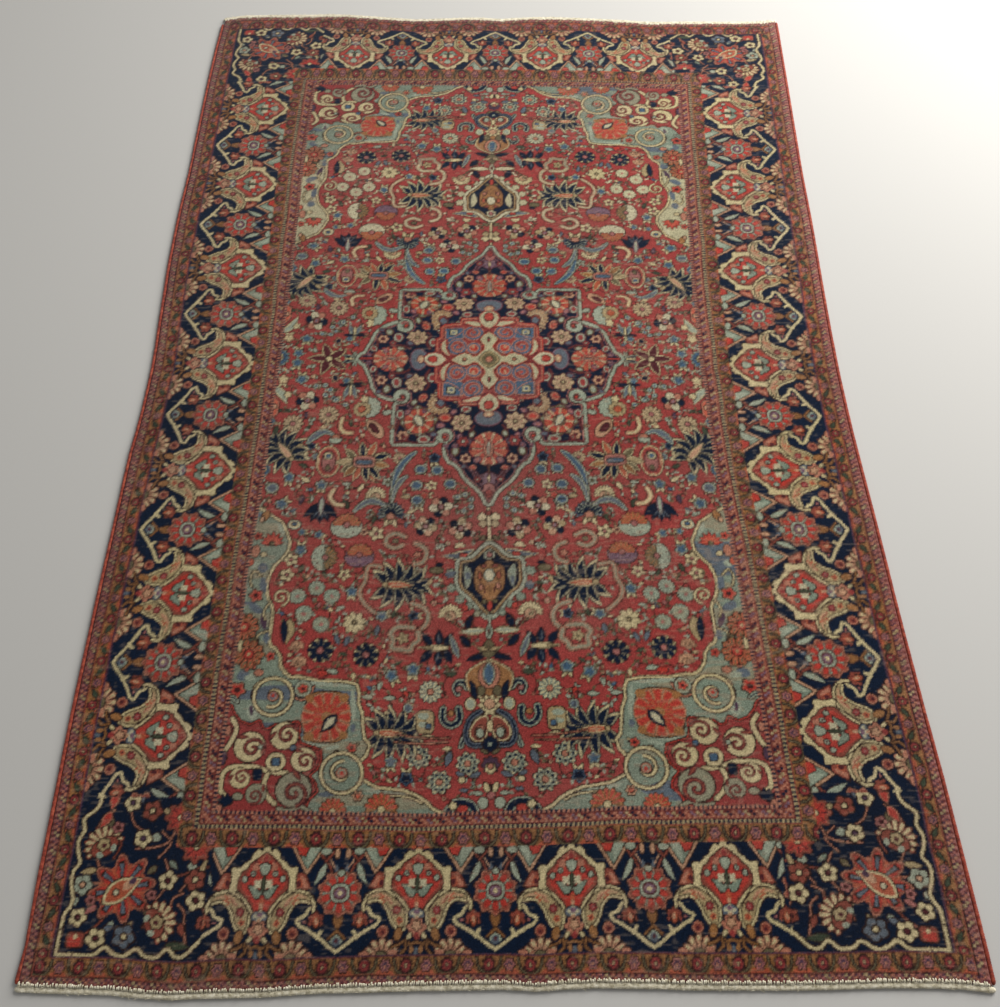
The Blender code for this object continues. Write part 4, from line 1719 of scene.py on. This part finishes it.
def pile_band(number, low, high, step_across, step_along, finish):
    """One band of rows: its points, each with the dye and the place in the weave, and its map."""
    random = np.random.default_rng(SEED + 40 + number)
    across = np.linspace(-HALF_WIDTH, HALF_WIDTH, round(2 * HALF_WIDTH / step_across) + 1)
    along = np.linspace(low, high, round((high - low) / step_along) + 1)
    u, v = np.meshgrid(across, along)
    x, y = on_floor(u, v)
    swell = sum(share * np.sin(a * x * MM + b * y * MM + phase)
                for a, b, phase, share in PILE_WAVES)
    z = PILE_TOP + PILE_SWELL * swell
    edge = np.minimum(HALF_WIDTH - np.abs(u), HALF_LENGTH - np.abs(v))
    z -= RIM_DROP * np.exp(-edge / RIM_REACH)
    z[1:-1] += KNOT_LIFT * random.uniform(-1.0, 1.0, z[1:-1].shape)
    dye = np.ones((*u.shape, 4))
    dye[..., :3] = knot_colours(u, v, (step_across, step_along), random)
    knot = np.stack([u / KNOT_ACROSS, v / KNOT_ALONG, np.zeros_like(u)], axis=-1)

    # The hem turns down over the foundation, on the sides and at an end of the rug
    first, last = int(low <= -HALF_LENGTH), int(high >= HALF_LENGTH)
    margin = ((first, last), (1, 1))
    x, y, z = (np.pad(values, margin, mode="edge") for values in (x, y, z))
    dye, knot = (np.pad(values, (*margin, (0, 0)), mode="edge") for values in (dye, knot))
    x[:, 0] -= HEM_SPLAY
    x[:, -1] += HEM_SPLAY
    z[:, [0, -1]] = HEM_HEIGHT
    if first:
        y[0] -= HEM_SPLAY
        z[0] = HEM_HEIGHT
    if last:
        y[-1] += HEM_SPLAY
        z[-1] = HEM_HEIGHT

    rows, columns = x.shape
    points = np.stack([x, y, z], axis=-1).reshape(-1, 3)
    band = mesh_piece(f"pile_{number}", points, quads_of(rows, columns), finish)
    mesh = band.data
    for name, kind, field_name, values in (("dye", "FLOAT_COLOR", "color", dye),
                                           ("knot", "FLOAT_VECTOR", "vector", knot)):
        layer = mesh.attributes.new(name, kind, "POINT")
        layer.data.foreach_set(field_name, values.astype(np.float32).ravel())
    corners = np.empty(len(mesh.loops), np.int32)
    mesh.loops.foreach_get("vertex_index", corners)
    row, column = np.divmod(corners, columns)
    flat = np.stack([column / (columns - 1), row / (rows - 1)], axis=-1).astype(np.float32)
    mesh.uv_layers.new(name="OFBake").data.foreach_set("uv", flat.ravel())
    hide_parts("rug_body")
    return band


pile_finish = wool()
pile = [pile_band(i + 1, *row, pile_finish) for i, row in enumerate(PILE_BANDS)]


# ------------------------------------------------------------------ side cords
# Red wool yarn, overcast round the outermost warps along each long side, turn beside turn. It
# is brighter than the pile, and rubbed pale and thin in places.

CORD_WIDTH = 7.0             # mm
CORD_HEIGHT = 6.2
CORD_YARN = 3.2              # one turn of the yarn
CORD_SLANT = 1.2             # of the yarn's turns
CORD_GROOVE = 0.16           # depth between two turns, as a share of the radius
CORD_TAPER = (4.0, 0.5)      # mm over which the ends draw in, and how roundly
TURN_LEAN = 0.8              # mm by which a turn of yarn leans to one side
RIDGE_ROUNDING = 0.7         # below 1, the ridges are broad and the grooves sharp
BUMP_SHARE = 0.05            # of the radius, by which it changes within a few turns,
SLOW_SHARE = 0.06            # over a hand's width,
ROUGH_SHARE = 0.02           # and from point to point
CORD_SINK = 0.98             # below 1, the cord presses into the floor by a hair
RING_STEP = 0.9              # mm between two rings of the cord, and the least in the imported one
PACKED_RING_GAP = 2.0
SECTION_SIDES = 8


def middle_line(node, axis):
    """The middle of a packed cord or band, as places along it and offsets across it, in mm."""
    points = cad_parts[node].data.vertices
    found = np.unique(np.round([np.array(p.co) / MM for p in points], 2), axis=0)
    found = found[np.argsort(found[:, axis])]
    breaks = np.flatnonzero(np.diff(found[:, axis]) > PACKED_RING_GAP) + 1
    rings = np.split(found, breaks)
    places = np.array([ring[:, axis].mean() for ring in rings])
    offsets = np.array([ring[:, 1 - axis].mean() for ring in rings])
    return places, offsets


def overcast(name, node, axis, width, height, yarn, slant, groove, taper, finish):
    """A cord wound with yarn: each turn is a rounded ridge, and both ends draw in."""
    places, offsets = middle_line(node, axis)
    start, stop = places[0], places[-1]
    count = int((stop - start) / RING_STEP) + 1
    along = np.linspace(start, stop, count)
    random = np.random.default_rng(SEED + len(name))
    bumps = drift(along * 0.0, along, 900, 7, SEED + 20 + len(name))[:, None]
    slow = drift(along * 0.0, along, 900, 72, SEED + 21 + len(name))[:, None]
    angle = 2.0 * np.pi * (np.arange(SECTION_SIDES) + 0.5) / SECTION_SIDES
    turns = (along[:, None] + slant * np.cos(angle)[None, :] + TURN_LEAN * bumps) / yarn
    ridge = 1.0 - groove * (1.0 - np.abs(np.sin(np.pi * turns)) ** RIDGE_ROUNDING)
    ridge = ridge * (1.0 + BUMP_SHARE * bumps + SLOW_SHARE * slow)
    ridge = ridge * (1.0 + ROUGH_SHARE * random.standard_normal(ridge.shape))
    from_end = np.minimum(along - start, stop - along)[:, None]
    ridge = ridge * np.maximum(np.clip(from_end / taper[0], 0.0, 1.0) ** taper[1], 0.02)
    across = np.interp(along, places, offsets)[:, None] + width / 2.0 * ridge * np.cos(angle)
    up = height / 2.0 * (CORD_SINK + ridge * np.sin(angle))
    run = np.broadcast_to(along[:, None], across.shape)
    points = np.stack([across, run, up] if axis else [run, across, up], axis=-1)
    ring = np.arange(count * SECTION_SIDES).reshape(count, SECTION_SIDES)
    after = np.roll(ring, -1, axis=1)
    faces = np.stack([ring[:-1], after[:-1], after[1:], ring[1:]], axis=-1).reshape(-1, 4)
    if axis:
        faces = faces[:, ::-1]
    piece = mesh_piece(name, points.reshape(-1, 3), faces, finish)
    caps = bmesh.new()
    caps.from_mesh(piece.data)
    bmesh.ops.holes_fill(caps, edges=[edge for edge in caps.edges if edge.is_boundary])
    bmesh.ops.recalc_face_normals(caps, faces=caps.faces)
    caps.to_mesh(piece.data)
    caps.free()
    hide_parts(node)
    return piece


def yarn_finish(name, dark, base, pale, grain):
    """Soft spun yarn: matt and a little hairy, uneven in tone from turn to turn."""
    finish, tree = new_finish(name)
    place = add_node(tree, "ShaderNodeTexCoord").outputs["Object"]
    turns = add_node(tree, "ShaderNodeTexNoise", {
        "Vector": place, "Scale": 1.0 / (grain * MM), "Detail": 3.0, "Roughness": 0.65})
    tone = add_node(tree, "ShaderNodeValToRGB", {"Fac": turns.outputs[0]})
    ramp = tone.color_ramp
    ramp.elements[0].position = 0.30
    ramp.elements[0].color = (*linear(dark), 1.0)
    ramp.elements[1].position = 0.74
    ramp.elements[1].color = (*linear(pale), 1.0)
    ramp.elements.new(0.50).color = (*linear(base), 1.0)
    hairs = add_node(tree, "ShaderNodeTexNoise", {"Vector": place, "Scale": 1.0 / (0.5 * MM)})
    bump = add_node(tree, "ShaderNodeBump", {
        "Height": hairs.outputs[0], "Strength": 0.4, "Distance": 0.4 * MM})
    shader = add_node(tree, "ShaderNodeBsdfPrincipled", {
        "Base Color": tone.outputs[0], "Roughness": 0.9, "Specular IOR Level": 0.2,
        "Sheen Weight": 0.15, "Sheen Roughness": 0.5, "Normal": bump.outputs[0]})
    add_node(tree, "ShaderNodeOutputMaterial", {"Surface": shader.outputs[0]})
    return finish


red_yarn = yarn_finish("overcast_wool", "#5a261b", "#883626", "#aa5a40", 7.0)
for side, slant in (("left", CORD_SLANT), ("right", -CORD_SLANT)):
    cord = overcast(f"side_cord_{side}", f"selvedge_{side}", 1, CORD_WIDTH, CORD_HEIGHT,
                    CORD_YARN, slant, CORD_GROOVE, CORD_TAPER, red_yarn)


# ------------------------------------------------------------------ end bindings
# Undyed cotton thread, overcast by hand along each end to hold the last rows, over the side
# cords' ends too. Longer stitches reach into the pile, and the worn thread has gone fuzzy.

NEAR_BAND = (9.0, 5.0)       # width and height, mm
FAR_BAND = (11.0, 5.0)
COTTON_THREAD = 3.5
COTTON_SLANT = 2.2
COTTON_GROOVE = 0.22
COTTON_TAPER = (5.0, 0.4)
STITCH_PITCH = 2.6           # mm, as the lengths below are
STITCH_HALF = 1.1            # half a stitch's width
STITCH_ROOT = 4.6            # height where it starts
STITCH_RISE = 2.6
STITCH_REACH = {"near": 3.6, "far": 6.5}     # into the pile
STITCH_START = 3.0           # their shortest run, and how far from the band's ends they stop
STITCH_MARGINS = (5.0, 8.0)
FUZZ_PITCH = 2.6
FUZZ_LENGTH = 7.0
FUZZ_HALF = 0.28
FUZZ_ROOT = 4.4
FUZZ_MARGINS = (3.0, 6.0)
STRIP_SHAPE = (
    # share of its length, of its rise and of its width
    (0.0, 0.0, 0.7),
    (0.3, 0.9, 1.0),
    (0.7, 0.9, 1.0),
    (1.0, 0.0, 0.5),
)


def loose_threads(name, node, width, reach, inward, finish):
    """The stitches over the pile's edge, and the fuzz: thin bent strips, ridged along."""
    places, offsets = middle_line(node, 0)
    random = np.random.default_rng(SEED + 31 + len(name))
    points, faces = [], []

    def strip(x, y, z, run_x, run_y, rise, half):
        """A bowed strip, rooted below the surface at both ends."""
        first = len(points)
        length = math.hypot(run_x, run_y)
        side = (-run_y / length * half, run_x / length * half)
        for share, lift, taper in STRIP_SHAPE:
            cx, cy, cz = x + run_x * share, y + run_y * share, z + rise * lift
            points.append((cx - side[0] * taper, cy - side[1] * taper, cz))
            points.append((cx, cy, cz + half * 0.7))
            points.append((cx + side[0] * taper, cy + side[1] * taper, cz))
        for i in range(len(STRIP_SHAPE) - 1):
            a = first + 3 * i
            faces.append((a, a + 1, a + 4, a + 3))
            faces.append((a + 1, a + 2, a + 5, a + 4))

    x = places[0] + STITCH_MARGINS[0]
    while x < places[-1] - STITCH_MARGINS[1]:
        edge = np.interp(x, places, offsets) + inward * width * 0.32
        run = STITCH_START + reach * random.uniform(0.2, 1.3)
        strip(x, edge, STITCH_ROOT, random.uniform(-1.5, 2.0), inward * run, STITCH_RISE,
              STITCH_HALF)
        x += STITCH_PITCH * random.uniform(0.6, 1.4)
    x = places[0] + FUZZ_MARGINS[0]
    while x < places[-1] - FUZZ_MARGINS[1]:
        edge = np.interp(x, places, offsets) + random.uniform(-0.45, 0.45) * width
        turn = random.uniform(0.0, 2.0 * math.pi)
        length = FUZZ_LENGTH * random.uniform(0.4, 1.1)
        strip(x, edge, FUZZ_ROOT, length * math.cos(turn), 0.6 * length * math.sin(turn),
              random.uniform(1.0, 3.0), FUZZ_HALF)
        x += FUZZ_PITCH * random.uniform(0.5, 1.5)
    piece = mesh_piece(name, np.array(points), np.array(faces), finish)
    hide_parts(node)


cotton = yarn_finish("overcast_cotton", "#9f9478", "#cfc5aa", "#eee6d0", 6.0)
for end, (width, height), inward in (("near", NEAR_BAND, 1.0), ("far", FAR_BAND, -1.0)):
    band = overcast(f"end_band_{end}", f"end_binding_{end}", 0, width, height, COTTON_THREAD,
                    COTTON_SLANT, COTTON_GROOVE, COTTON_TAPER, cotton)
    loose_threads(f"end_stitches_{end}", f"end_binding_{end}", width, STITCH_REACH[end], inward,
                  cotton)


# ------------------------------------------------------------------ studio
# A plain pale floor, soft even light from above, and a camera held at eye height just off the
# near end, looking down the rug.

FLOOR_HALF = 8.0             # m
EYE = (-0.0067, -1.2075, 1.5256)
LOOK_UP = 0.5416             # radians up from straight down
LOOK_TURN = -0.0042
LOOK_ROLL = 0.0048
LENS = 37.36                 # mm
LENS_FRAME = 36.0            # mm
AIR_COLOUR = (0.95, 0.97, 1.0, 1.0)
AIR_STRENGTH = 0.30
SOFT_BOXES = (
    # name, place and size in m, power in W
    ("soft_box_left", (-2.4, -0.2, 3.2), 3.0, 10.0),
    ("soft_box_right", (2.2, 1.9, 2.0), 2.4, 224.0),
)

floor_mesh = bpy.data.meshes.new("floor")
floor_mesh.from_pydata([(-FLOOR_HALF, -FLOOR_HALF, 0.0), (FLOOR_HALF, -FLOOR_HALF, 0.0),
                        (FLOOR_HALF, FLOOR_HALF, 0.0), (-FLOOR_HALF, FLOOR_HALF, 0.0)],
                       [], [(0, 1, 2, 3)])
floor = bpy.data.objects.new("floor", floor_mesh)
bpy.context.scene.collection.objects.link(floor)
paint, paint_tree = new_finish("studio_floor")
paint_shader = add_node(paint_tree, "ShaderNodeBsdfPrincipled", {
    "Base Color": (*linear("#b5b2ac"), 1.0), "Roughness": 0.85, "Specular IOR Level": 0.2})
add_node(paint_tree, "ShaderNodeOutputMaterial", {"Surface": paint_shader.outputs[0]})
floor_mesh.materials.append(paint)

for name, place, size, power in SOFT_BOXES:
    lamp = bpy.data.lights.new(name, "AREA")
    lamp.size = size
    lamp.energy = power
    light = bpy.data.objects.new(name, lamp)
    light.location = place
    light.rotation_euler = (-Vector(place)).to_track_quat("-Z", "Y").to_euler()
    bpy.context.scene.collection.objects.link(light)

world = bpy.data.worlds.new("studio_air")
world.use_nodes = True
air = world.node_tree.nodes["Background"]
air.inputs["Color"].default_value = AIR_COLOUR
air.inputs["Strength"].default_value = AIR_STRENGTH
bpy.context.scene.world = world
bpy.context.scene.view_settings.view_transform = "Standard"

camera = bpy.data.objects.new("camera", bpy.data.cameras.new("camera"))
camera.data.lens = LENS
camera.data.sensor_width = LENS_FRAME
camera.matrix_world = (Matrix.Translation(EYE) @ Matrix.Rotation(LOOK_TURN, 4, "Z")
                       @ Matrix.Rotation(LOOK_UP, 4, "X") @ Matrix.Rotation(LOOK_ROLL, 4, "Z"))
bpy.context.scene.collection.objects.link(camera)
bpy.context.scene.camera = camera
